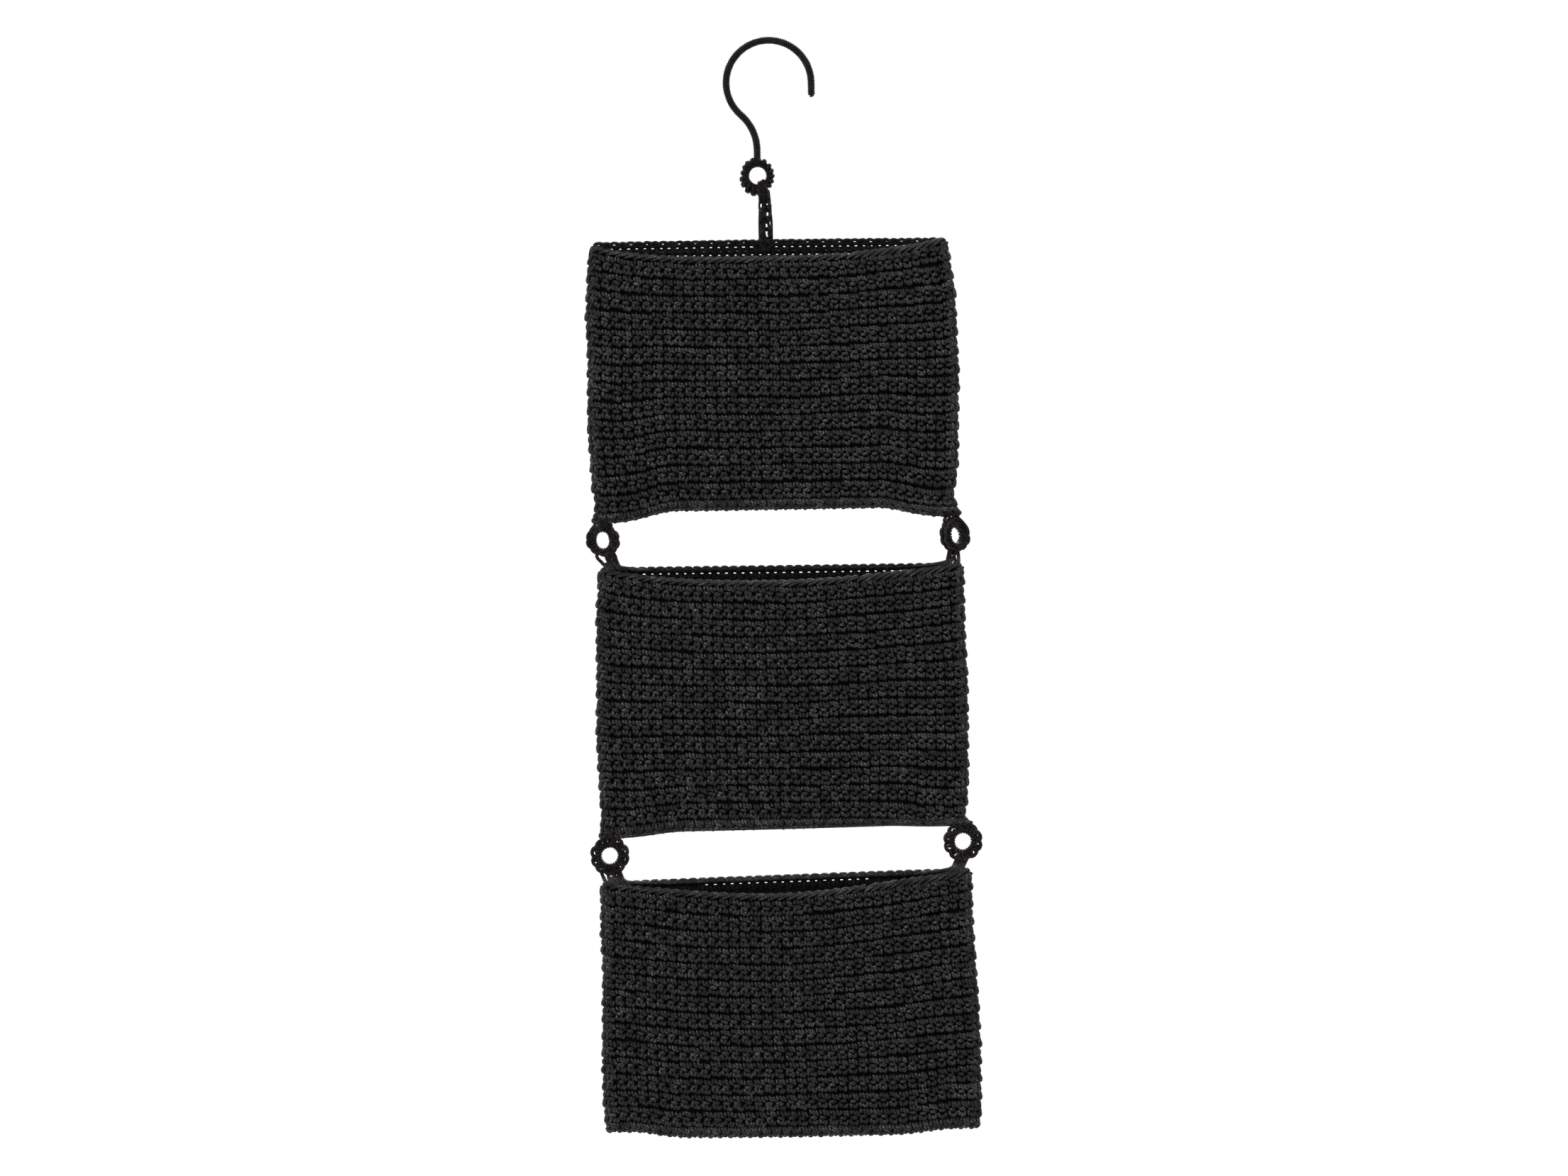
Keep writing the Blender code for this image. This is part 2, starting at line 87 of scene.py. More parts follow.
def maths(tree, operation, *values):
    """The result of a math node on these values or links."""
    inputs = {f"_{number}": value for number, value in enumerate(values)}
    return add_node(tree, "ShaderNodeMath", {"operation": operation}, **inputs).outputs[0]


def spread(tree, value, **ends):
    """A value mapped between ranges, which are 0 to 1 where not given."""
    return add_node(tree, "ShaderNodeMapRange", (), Value=value, **ends).outputs[0]


def noise(tree, scale, detail, roughness=0.5, place=None):
    """Noise from 0 to 1 over the object, or over the place given."""
    if place is None:
        place = add_node(tree, "ShaderNodeTexCoord").outputs["Object"]
    links = {"Vector": place, "Scale": scale, "Detail": detail, "Roughness": roughness}
    return add_node(tree, "ShaderNodeTexNoise", (), **links).outputs[0]


def new_material(name, **inputs):
    """A new material, its node tree and its shader with these inputs."""
    material = bpy.data.materials.new(name)
    material.use_nodes = True
    shader = material.node_tree.nodes["Principled BSDF"]
    for key, value in inputs.items():
        shader.inputs[key.replace("_", " ")].default_value = value
    return material, material.node_tree, shader


def studio_light(name, place, size, power, aim=(0, 0, -0.4)):
    """A rectangular lamp: metres and watts."""
    data = bpy.data.lights.new(name, "AREA")
    data.shape = "RECTANGLE"
    data.size, data.size_y = size
    data.energy = power
    lamp = bpy.data.objects.new(name, data)
    lamp.location = place
    lamp.rotation_euler = (Vector(aim) - Vector(place)).to_track_quat("-Z", "Y").to_euler()
    scene.collection.objects.link(lamp)


studio_light("top_softbox", (-0.4, -1.5, 1.1), (1.2, 0.8), 51)
studio_light("left_softbox", (-1.7, -1.3, -0.3), (0.5, 1.4), 12)
studio_light("right_softbox", (1.7, -1.3, -0.3), (0.5, 1.4), 9)
studio_light("low_softbox", (0.1, -1.3, -1.1), (1.0, 0.4), 4, aim=(0, 0, -0.75))
studio_light("rear_softbox", (0.3, 1.8, 0.5), (1.2, 1.2), 28)

world = bpy.data.worlds.new("studio")
scene.world = world
world.use_nodes = True
tree = world.node_tree
tree.nodes.clear()
path = add_node(tree, "ShaderNodeLightPath")
seen = maths(tree, "MAXIMUM", path.outputs["Is Camera Ray"], path.outputs["Is Glossy Ray"])
seen = maths(tree, "MAXIMUM", seen, path.outputs["Is Transmission Ray"])
strength = spread(tree, seen, To_Min=ROOM_LIGHT)
background = add_node(tree, "ShaderNodeBackground", (), Color=(1, 1, 1, 1), Strength=strength)
add_node(tree, "ShaderNodeOutputWorld", (), Surface=background.outputs[0])


# Hook: 3 mm steel wire, wound tight with fine black cord from its tip to the end of its eye, each
# turn against the last. The wire is bent to a crown over the rail, a reverse bend and a closed eye.
CROWN_RADIUS = 30 * MM
TIP_DROP = 8.5 * MM
TIP_COVER = 1.6 * MM
STEM_OFFSET = 9.2 * MM
STEM_LENGTH = 7.4 * MM
EYE_RADIUS = 8.6 * MM
EYE_DEPTH = 92.8 * MM
EYE_FILLET = 3 * MM
EYE_END_ANGLE = math.radians(-245)
WRAP_RADIUS = 2.5 * MM
WINDING_OUTSIDE = 2.7 * MM
WINDING_RADIUS = 0.86 * MM
WINDING_PITCH = 1.45 * MM
FINE_PLY_LENGTH = 1.4 * MM
# The thicker cord of everything but the winding
CORD_RADIUS = 1.2 * MM
PLY_LENGTH = 2.3 * MM


def twisted_cord(name, cord_colours_with_painted_shade_and_glint, sheen, ply_length=PLY_LENGTH, cord_radius=CORD_RADIUS, plies=3):
    """Black polyester cord: plies of fine filaments laid round each other. Its base colour is painted
    with a glint on the crown of each ply and on specks of filament, and with shade in the grooves
    between them. The UV map runs once round the cord, and along it in metres."""
    material, tree, shader = new_material(name, Roughness=0.46, IOR=1.55, Specular_Tint=linear(sheen))
    uv = add_node(tree, "ShaderNodeUVMap", {"uv_map": "cord"})
    place = add_node(tree, "ShaderNodeSeparateXYZ", (), Vector=uv.outputs[0])
    round_it = maths(tree, "MULTIPLY", place.outputs[0], float(plies))
    turn = maths(tree, "MULTIPLY_ADD", place.outputs[1], 1 / ply_length, round_it)
    wave = maths(tree, "SINE", maths(tree, "MULTIPLY", turn, math.pi))
    ply = maths(tree, "ABSOLUTE", wave)
    # Filaments lie along each ply, drawn 0.8 mm wide and 1.3 mm long so that they show
    patches = noise(tree, 140.0, 2.0, 0.6)
    across = maths(tree, "MULTIPLY", turn, 3.0)
    along = maths(tree, "MULTIPLY", place.outputs[1], 780.0)
    drift = maths(tree, "MULTIPLY", patches, 60.0)
    strand = add_node(tree, "ShaderNodeCombineXYZ", (), X=across, Y=along, Z=drift)
    filaments = noise(tree, 1.0, 2.0, 0.6, strand.outputs[0])
    lumps = spread(tree, filaments, From_Min=0.33, From_Max=0.67)
    height = maths(tree, "MULTIPLY_ADD", lumps, 1.0, ply)
    bump = add_node(tree, "ShaderNodeBump", (), Height=height, Strength=1.0, Distance=cord_radius * 0.23)
    tree.links.new(bump.outputs[0], shader.inputs["Normal"])
    # Painted shade: deep black in the grooves. Painted highlight: specks of light where a filament catches
    # it, lighter on the crown of each ply
    glint = maths(tree, "MULTIPLY", lumps, patches)
    crown = maths(tree, "MULTIPLY_ADD", ply, 0.55, 0.3)
    shade = maths(tree, "MULTIPLY", crown, glint)
    ramp = add_node(tree, "ShaderNodeValToRGB", (), Fac=shade)
    ramp.color_ramp.elements.new(0.36)
    for stop, position, tone in zip(ramp.color_ramp.elements, (0.04, 0.24, 0.52), cord_colours_with_painted_shade_and_glint):
        stop.position = position
        stop.color = linear(tone)
    tree.links.new(ramp.outputs[0], shader.inputs["Base Color"])
    return material


def smoothed(points, steps):
    """A smooth line through points, with so many steps from each to the next."""
    p = np.asarray(points, float)
    line = np.concatenate([2 * p[:1] - p[1:2], p, 2 * p[-1:] - p[-2:-1]])
    a, b, c, d = (k[:, None, :] for k in (line[:-3], line[1:-2], line[2:-1], line[3:]))
    t = (np.arange(steps) / steps)[None, :, None]
    square = 2 * a - 5 * b + 4 * c - d
    cube = 3 * b - a - 3 * c + d
    spans = 0.5 * (2 * b + (c - a) * t + square * t**2 + cube * t**3)
    return np.concatenate([spans.reshape(-1, 3), p[-1:]])


def integers(items, field):
    """One whole number for each of a mesh's items."""
    values = np.empty(len(items), np.int32)
    items.foreach_get(field, values)
    return values


def cord_piece(name, routes, radius, material, resolution=1, radii=None):
    """One mesh of round cord along each route. Its UV map runs round the cord and along it."""
    curve = bpy.data.curves.new(name, "CURVE")
    curve.dimensions = "3D"
    curve.bevel_depth = radius
    curve.bevel_resolution = resolution
    curve.use_fill_caps = True
    for number, route in enumerate(routes):
        spline = curve.splines.new("POLY")
        spline.points.add(len(route) - 1)
        spline.points.foreach_set("co", np.c_[route, np.ones(len(route))].astype(np.float32).ravel())
        if radii is not None:
            spline.points.foreach_set("radius", np.asarray(radii[number], np.float32))
    piece = bpy.data.objects.new(name, curve)
    scene.collection.objects.link(piece)
    bpy.ops.object.select_all(action="DESELECT")
    piece.select_set(True)
    bpy.context.view_layer.objects.active = piece
    bpy.ops.object.convert(target="MESH")
    piece = bpy.context.object
    piece.name = name
    mesh = piece.data
    mesh.name = name
    sides = 2 * resolution + 4
    caps = 2 * len(routes) * sides
    along = np.zeros(len(mesh.vertices))
    lengths = [np.r_[0, np.cumsum(np.linalg.norm(np.diff(r, axis=0), axis=1))] for r in routes]
    along[caps:] = np.repeat(np.concatenate(lengths), sides)
    around = np.zeros(len(mesh.vertices))
    around[caps:] = np.tile(np.arange(sides), sum(len(r) for r in routes))
    corner = integers(mesh.loops, "vertex_index")
    u, v = around[corner], along[corner]
    start = integers(mesh.polygons, "loop_start")
    quads = start[integers(mesh.polygons, "loop_total") == 4][:, None] + np.arange(4)
    # The last face of each round ends at a whole turn and not at its start
    ring = u[quads]
    wraps = (ring.max(1) == sides - 1) & (ring.min(1) == 0)
    ring[wraps] = np.where(ring[wraps] == 0, sides, ring[wraps])
    u[quads] = ring
    layer = mesh.uv_layers[0]
    layer.name = "cord"
    layer.data.foreach_set("uv", np.c_[u / sides, v].astype(np.float32).ravel())
    bpy.ops.object.mode_set(mode="EDIT")
    bpy.ops.mesh.select_all(action="SELECT")
    bpy.ops.mesh.remove_doubles(threshold=1e-7)
    bpy.ops.object.mode_set(mode="OBJECT")
    bpy.ops.object.shade_smooth()
    mesh.materials.clear()
    mesh.materials.append(material)
    return piece


def arc(centre, radius, start, end, steps):
    """Points of an arc in the plane of the hook."""
    angle = np.linspace(start, end, steps + 1)
    return np.c_[centre[0] + radius * np.cos(angle), 0 * angle, centre[1] + radius * np.sin(angle)]


crown_centre = (0, WRAP_RADIUS - CROWN_RADIUS)
eye_centre = (-STEM_OFFSET, -EYE_DEPTH)
fillet_height = math.sqrt(EYE_RADIUS**2 + 2 * EYE_RADIUS * EYE_FILLET)
fillet_centre = (EYE_FILLET - STEM_OFFSET, eye_centre[1] + fillet_height)
fillet_turn = math.atan2(fillet_height, EYE_FILLET)
stem_top = fillet_centre[1] + STEM_LENGTH
reverse_angle = 2 * math.atan2(CROWN_RADIUS - STEM_OFFSET, crown_centre[1] - stem_top)
reverse_radius = (CROWN_RADIUS * math.cos(reverse_angle) - STEM_OFFSET) / (1 - math.cos(reverse_angle))
reverse_centre = (-STEM_OFFSET - reverse_radius, stem_top)
wire = np.concatenate([
    [(CROWN_RADIUS, 0, crown_centre[1] - TIP_DROP - TIP_COVER)],
    arc(crown_centre, CROWN_RADIUS, 0, math.pi + reverse_angle, 60),
    arc(reverse_centre, reverse_radius, reverse_angle, 0, 20)[1:],
    arc(fillet_centre, EYE_FILLET, math.pi, math.pi + fillet_turn, 6),
    arc(eye_centre, EYE_RADIUS, fillet_turn, EYE_END_ANGLE, 60)[1:],
])
wire_length = np.r_[0, np.cumsum(np.linalg.norm(np.diff(wire, axis=0), axis=1))]
turns = int(wire_length[-1] / WINDING_PITCH)
travel = np.linspace(0, wire_length[-1], turns * 10)
centre_line = np.stack([np.interp(travel, wire_length, wire[:, k]) for k in range(3)], 1)
heading = np.gradient(centre_line, axis=0)
heading /= np.linalg.norm(heading, axis=1)[:, None]
outward = np.cross(heading, (0, 1, 0))
twist = 2 * math.pi * travel / WINDING_PITCH
uneven = 1 + 0.03 * np.sin(travel / MM * 0.9) * np.sin(travel / MM * 0.37)
# The first turns close over the wire's tip
tip = np.minimum(1, np.sqrt(travel / (1.9 * MM) + 0.02))
reach = ((WINDING_OUTSIDE - WINDING_RADIUS) * uneven * tip)[:, None]
aside = np.cos(twist)[:, None] * outward + np.sin(twist)[:, None] * np.array([(0, 1, 0)])
winding = centre_line + reach * aside

# The fine cord's colours: painted shade for its grooves, its own brown-black, and a painted glint
fine_cord_colours_with_painted_shade_and_glint = ("#060505", "#171312", "#3a3433")
fine_cord = twisted_cord("fine_twisted_cord", fine_cord_colours_with_painted_shade_and_glint, "#5a5555", FINE_PLY_LENGTH, WINDING_RADIUS, plies=2)
hook_winding = cord_piece("hook_winding", [winding], WINDING_RADIUS, fine_cord)
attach(hook_winding, "hook")
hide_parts("hook_wrap")

# Drawn steel: bright, with faint marks on it that spread its gloss. It shows only at the wire's end
steel, tree, shader = new_material("bright_steel_wire", Metallic=1.0, Base_Color=linear("#b9b8b4"))
gloss = spread(tree, noise(tree, 900.0, 3.0), To_Min=0.22, To_Max=0.45)
tree.links.new(gloss, shader.inputs["Roughness"])
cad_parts["hook_wire"].data.materials.clear()
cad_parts["hook_wire"].data.materials.append(steel)


# Eye cover: seventeen stitches of the thicker cord worked round the wrapped eye. Each crosses the band
# twice and ends in a round knot on its outer edge, fuller at the foot.
EYE_STITCHES = 17
EYE_OUTSIDE = 12.2 * MM
EYE_BAND = (5.8 * MM, 11 * MM)
EYE_HALF_DEPTH = 3.1 * MM
EYE_WINDING_RADIUS = 1 * MM
# Each cord's three colours: painted shade for its grooves, the cord's own black, and a painted glint
crochet_cord = twisted_cord("black_twisted_cord", ("#050505", "#252526", "#7e7e80"), "#848486")
edging_cord = twisted_cord("brown_black_twisted_cord", ("#040303", "#191515", "#5a5250"), "#5c5656")
strap_cord = twisted_cord("strap_twisted_cord", ("#030202", "#151212", "#4c4443"), "#4e4949")


def round_ring(centre, turn, angle, radius, depth):
    """Points at an angle and a radius from a ring's centre, the ring turned about the vertical."""
    x, y, z = radius * np.cos(angle), depth + 0 * angle, radius * np.sin(angle)
    c, s = math.cos(turn), math.sin(turn)
    return np.stack([c * x - s * y + centre[0], s * x + c * y + centre[1], z + centre[2]], -1)


def band_winding(centre, turn, band, half_depth, wraps, cord, seed, oval=0.0):
    """Cord that crosses a ring's band, out on its front and in on its back, all the way round.
    The hole is narrower across by the share oval."""
    rng = np.random.default_rng(seed)
    angle = np.linspace(0, 2 * math.pi, wraps * 12 + 1)
    uneven = np.interp(angle, np.linspace(0, 2 * math.pi, wraps + 1), rng.uniform(0.93, 1.07, wraps + 1))
    hole = band[0] * (1 - oval * np.cos(angle) ** 2)
    half = (band[1] - hole) / 2 - cord
    radius = (hole + band[1]) / 2 + half * np.cos(angle * wraps) * uneven
    return round_ring(centre, turn, angle, radius, (half_depth - cord) * np.sin(angle * wraps) * uneven)


def one_thickness(radius, route):
    """A radius in mm for every point of a route, as shares of the cord's own."""
    return np.full(len(route), radius * MM / CORD_RADIUS)


eye_place = (eye_centre[0], 0, eye_centre[1])
routes = [band_winding(eye_place, 0, EYE_BAND, EYE_HALF_DEPTH, EYE_STITCHES * 2, EYE_WINDING_RADIUS, 4)]
weights = [one_thickness(0.95, routes[0])]
rng = np.random.default_rng(11)
for stitch in range(EYE_STITCHES):
    angle = 2 * math.pi * (stitch + rng.uniform(-0.12, 0.12)) / EYE_STITCHES
    fuller = 2.4 * max(0, math.cos(angle - 4.4)) ** 1.5 + 0.9 * max(0, math.cos(angle - 1.7)) ** 2
    rise = np.array([-2.4, -0.9, -0.1, 0.0, -0.1, -0.9, -2.4]) * (1 + 0.3 * fuller)
    radius = EYE_OUTSIDE + (fuller - 1.55 + rise) * MM
    depth = np.array([-2.0, -2.2, -1.3, 0.0, 1.3, 2.2, 2.0]) * MM
    lean = np.linspace(-0.25, 0.25, 7) * 2 * math.pi / EYE_STITCHES
    knot = round_ring(eye_place, 0, angle + lean, radius * rng.uniform(0.98, 1.02), depth)
    routes.append(smoothed(knot, 2))
    weights.append(np.full(len(routes[-1]), rng.uniform(1.2, 1.4) + 0.15 * fuller))
eye_crochet = cord_piece("eye_crochet", routes, CORD_RADIUS, strap_cord, radii=weights)
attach(eye_crochet, "hook")
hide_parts("hook_eye_cover")


# Strap: a loop of three strands through the eye, then two columns of chain stitches side by side with
# a cord along each edge, sewn over the top rows of the upper pocket's back.
LOOP_X = -6.4 * MM
LOOP_Z = -100 * MM
STRAP_TOP = -111 * MM
LOOP_CORD = 1.35 * MM
# The loop's strands: mm to the right of its middle, and mm that their crests lean to the left
LOOP_STRANDS = ((-1.6, 0.3), (0.4, 0.9), (2.2, 1.3))
EYE_HOLE = 6 * MM
routes = []
for offset, lean in LOOP_STRANDS:
    beside_eye = LOOP_X + offset * MM - lean * MM - eye_centre[0]
    crest = eye_centre[1] - math.sqrt(EYE_HOLE**2 - beside_eye**2) + 1.1 * MM
    for face in (-1, 1):
        x = LOOP_X + offset * MM
        routes.append(smoothed([
            (x + lean * MM, face * 0.2 * MM, STRAP_TOP - 1 * MM),
            (x + lean * MM, face * 1.6 * MM, STRAP_TOP + 1.5 * MM),
            (x + lean * 0.7 * MM, face * 3.7 * MM, LOOP_Z - 4 * MM),
            (x, face * 4.5 * MM, LOOP_Z - 0.4 * MM),
            (x - 0.6 * lean * MM, face * 3 * MM, crest - 0.9 * MM),
            (x - lean * MM, 0, crest),
        ], 4))
strap_loop = cord_piece("strap_loop_cord", routes, LOOP_CORD, strap_cord)
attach(strap_loop, "strap_top")
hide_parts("strap_loop")

# Each long strand: its radius, how far in front it lies, and where it passes: mm down, mm across
STRAP_STRANDS = [
    (0.85, 0, [
        (103, -8.2), (107, -8.4), (110, -8), (113.5, -8.5), (118, -8.4), (124, -8.7), (130, -8.8),
        (147, -8.8),
    ]),
    (1.2, 0.7, [
        (104, -5.7), (107.2, -5.7), (110.2, -6.9), (113.5, -5.6), (117, -6.6), (121, -7.3), (125, -6.6),
        (130, -7.5), (135, -6.8), (141, -7.4), (147, -6.9),
    ]),
    (1.25, 0.5, [
        (104, -4.5), (109, -4.3), (112.3, -4.5), (116, -5.2), (119.8, -4.6), (124, -5.4), (128, -5.4),
        (131, -5.8), (134, -5.5), (138, -4.8), (147, -5.2),
    ]),
    (1.1, 0.7, [
        (104, -1.9), (108, -1.6), (112.3, -1.3), (116, -2.5), (119.8, -1.3), (123.5, -2.4), (127, -2.4),
        (131, -1.9), (134, -2.3), (138, -1.9), (147, -2.4),
    ]),
    (0.95, 0, [
        (103, -2.2), (106, -2), (112, -1.5), (118, -0.9), (123, -0.4), (127, -0.2), (136, -0.25),
        (147, -0.3),
    ]),
]
# Cords behind them, which leave only a few slits open: mm across, and from where to where down
STRAP_BACKING = [
    (-7.6, 115.4, 147), (-7.2, 109, 112.2), (-5.6, 105, 125), (-6.1, 124, 147), (-3.4, 113.8, 118.8),
    (-3.5, 121.2, 126.8), (-3.9, 129.2, 132.2), (-3.7, 136, 147), (-1.1, 113, 125.4), (-1.2, 127.8, 147),
    (-3, 104, 111),
]
# Bumps that cross the strands slantwise: mm down and across at the top, then at the foot
STRAP_BUMPS = [
    (116.4, -8.2, 120.6, -6.4), (121.4, -6.2, 125.8, -8.2), (126.4, -8.4, 130.8, -6.6),
    (131.6, -6.6, 136, -8.4), (136.6, -8.4, 141, -6.6), (106.4, -4.4, 109.8, -5.6),
    (113.4, -4, 117.6, -5.6), (119.2, -6, 123.6, -4.4), (124.4, -4.4, 129, -6.2), (130, -6.2, 134.6, -5.2),
    (114.4, -2.9, 118, -1.3), (119.6, -0.9, 123.8, -2.3), (128.6, -0.7, 132.6, -1.7),
    (133.2, -0.8, 137.4, -2.2), (138, -3.9, 142.4, -1.7), (141.4, -0.8, 146, -2.6),
]
rng = np.random.default_rng(17)
routes, weights = [], []


def strap_swing(down):
    """The strap leans back to pass over the rim of the upper pocket's back panel."""
    return np.interp(down, [110, 135, 147], [0.0, 0.5, 1.6])


for radius, front, passes in STRAP_STRANDS:
    down, across = np.array(passes).T
    for face in (1, -1):
        lift = front + 0.3 + 0.35 * np.sin(down * 1.1 + radius * 9)
        routes.append(smoothed(np.c_[across, strap_swing(down) - face * lift, -down] * MM, 4))
        weights.append(one_thickness(radius, routes[-1]))
for across, top, foot in STRAP_BACKING:
    down = np.linspace(top, foot, 8)
    routes.append(np.c_[0 * down + across, strap_swing(down) + 0.1, -down] * MM)
    weights.append(np.full(8, 1.0))
for top, left, foot, right in STRAP_BUMPS:
    down, across = np.linspace(top, foot, 5), np.linspace(left, right, 5)
    for face in (1, -1):
        lift = np.array([0.4, 1.5, 1.9, 1.5, 0.4])
        routes.append(np.c_[across, strap_swing(down) - face * lift, -down] * MM)
        weights.append(np.array([0.7, 0.95, 1.0, 0.95, 0.7]) * rng.uniform(0.85, 1.0))
strap_chain = cord_piece("strap_chain_stitches", routes, CORD_RADIUS, strap_cord, radii=weights)
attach(strap_chain, "strap")
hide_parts("strap_left_chain", "strap_right_chain")


# Pocket panels: single crochet in turned rows, so that a row of legs and a row of bumps make a pair.
# Of its cord each stitch shows seven short fat strands, which come out of the cloth and dive back.
POCKET_WIDTH = 262 * MM
HALF_WIDTH = POCKET_WIDTH / 2
PANEL_HALF = HALF_WIDTH - 4.3 * MM
PANEL_PLANE = 1.9 * MM
SEAM_RADIUS = 3.65 * MM
MOUTH_DEPTH = 18 * MM
RIM_RADIUS = 1.75 * MM
RIM_RISE = 2.05 * MM
# Where the lower corners' drop begins and ends, in half widths
CORNER_DROP = (0.55, 0.88)
STITCHES = 36
ROW_PAIRS = 14
# sag: of the front rim's middle; corner: of its ends; fall: how steeply it falls away at the left and
# right; drop: of the lower corners; slits: from where to where the back panel has them
POCKETS = {
    "upper": {
        "rim": -139.344 * MM, "height": 189.7 * MM, "sag": 14.5 * MM, "fall": (3.4, 2.1),
        "corner": (4 * MM, 1.5 * MM), "drop": (9.4 * MM, 7.8 * MM),
        "slits": (-127 * MM, 127 * MM), "seed": 3,
    },
    "middle": {
        "rim": -369.85 * MM, "height": 185 * MM, "sag": 11.3 * MM, "fall": (3.0, 1.8),
        "corner": (1.5 * MM, 1 * MM), "drop": (3.6 * MM, 4.2 * MM),
        "slits": (-108 * MM, 112 * MM), "seed": 5,
    },
    "lower": {
        "rim": -588.55 * MM, "height": 183.5 * MM, "sag": 12.2 * MM, "fall": (1.9, 1.5),
        "corner": (1 * MM, 1 * MM), "drop": (-4 * MM, -3 * MM),
        "slits": (-58 * MM, 60 * MM), "seed": 8,
    },
}
# The strands of one stitch: centre across in stitches and down in row pairs, half length across and
# down in mm, how far it stands out in mm, and its radius in mm
LEG_STRANDS = [
    (0.6, 0.195, 0.8, 1.9, 1.5, 1.13),
    (0.92, 0.22, 0.85, 1.85, 1.6, 1.16),
    (0.24, 0.16, 0.2, 1.35, 1.1, 1),
]
# The back, which hangs towards the wall, is drawn with two fewer of them
BACK_LEG_STRANDS = [(0.55, 0.2, 0.8, 1.65, 1.5, 1.35), (0.95, 0.215, 0.85, 1.55, 1.5, 1.3)]
BUMP_STRANDS_LEFT = [
    (0.5, 0.455, 1.95, 0.25, 1.9, 1.38),
    (0.26, 0.69, 0.35, 1.4, 1.4, 1.28),
    (0.6, 0.74, 0.6, -1.5, 1.5, 1.2),
    (0.87, 0.805, 0.6, -1.4, 1.3, 1.12),
]
BUMP_STRANDS_RIGHT = [
    (0.5, 0.445, 1.85, 0.05, 1.8, 1.34),
    (0.24, 0.71, 0.7, 1.55, 1.3, 1.24),
    (0.52, 0.775, 0.1, 1.2, 1.2, 1.02),
    (0.78, 0.735, 0.65, -1.65, 1.5, 1.24),
]
# Along a strand, from one end to the other: place, height above the cloth and thickness
STRAND_PLACE = np.array([-1.0, -0.66, 0.0, 0.66, 1.0])
STRAND_LIFT = np.array([-1.4, 0.72, 1.0, 0.72, -1.4])
STRAND_SWELL = np.array([0.80, 1.0, 1.06, 1.0, 0.80])
# How much a strand's six values above vary
STRAND_UNEVEN = (0.024, 0.012, 0.18, 0.16, 0.16, 0.07)
# Rows of cord inside the cloth, where stitches are worked into the row below: place down in row pairs,
# and how far in it lies in mm
INNER_ROWS = ((0.0, 2.0), (0.17, 1.7), (0.33, 1.6), (0.52, 1.8), (0.67, 1.6), (0.83, 1.7))
INNER_POINTS = {-1: STITCHES * 3, 1: STITCHES}
INNER_CORD = 1.6 * MM
# The back's top rows, down inside the pocket's mouth, get a darker copy of the cord as painted shade
pocket_shade_cord = twisted_cord("black_cord_painted_shade_inside_the_pocket", ("#020202", "#0f0d0d", "#3a3636"), "#424040")
# The rows inside the cloth get a near-black copy of the cord as painted shade, since little light reaches
# them
shaded_cord = twisted_cord("black_cord_painted_shade_inside_the_cloth", ("#010101", "#0d0d0e", "#242425"), "#2c2c2c")


def smooth_step(start, end, value):
    """From 0 at the start to 1 at the end, smoothly."""
    share = np.clip((value - start) / (end - start), 0, 1)
    return share * share * (3 - 2 * share)


def panel_levels(pocket, x):
    """Heights of the panel's foot and of its top edge at x, before the mouth sags."""
    middle = pocket["rim"] + RIM_RADIUS - pocket["height"] + SEAM_RADIUS
    drop = np.where(x < 0, *pocket["drop"]) * smooth_step(*CORNER_DROP, np.abs(x) / HALF_WIDTH)
    return middle - drop + SEAM_RADIUS, np.full_like(x, pocket["rim"] - RIM_RISE)


def mouth_sag(pocket, x):
    """How far the front rim hangs below the back one. It falls away more steeply at the left."""
    outer = np.clip(np.abs(x) / PANEL_HALF, 0, 1)
    corner = np.where(x < 0, *pocket["corner"]) * smooth_step(0.2, 1.0, outer)
    return corner + (pocket["sag"] - corner) * (1 - outer ** np.where(x < 0, *pocket["fall"]))


def bulge(x, rise):
    """How far the front panel stands out, most at the middle of its rim."""
    across = np.maximum(np.cos(np.clip(np.abs(x) / PANEL_HALF, 0, 1) * math.pi / 2), 0) ** 1.5
    return MOUTH_DEPTH * across * np.clip(rise, 0, 1) ** 1.3


def front_surface(pocket, x, down):
    """Points of the front panel's middle surface; down goes from 0 at the rim to 1 at the foot."""
    low, high = panel_levels(pocket, x)
    high = high - mouth_sag(pocket, x)
    return np.stack([x, -PANEL_PLANE - bulge(x, 1 - down), high + (low - high) * down], -1)


def back_surface(pocket, x, down):
    """Points of the back panel's middle surface, which is flat."""
    low, high = panel_levels(pocket, x)
    return np.stack([x, np.full_like(x, PANEL_PLANE), high + (low - high) * down], -1)


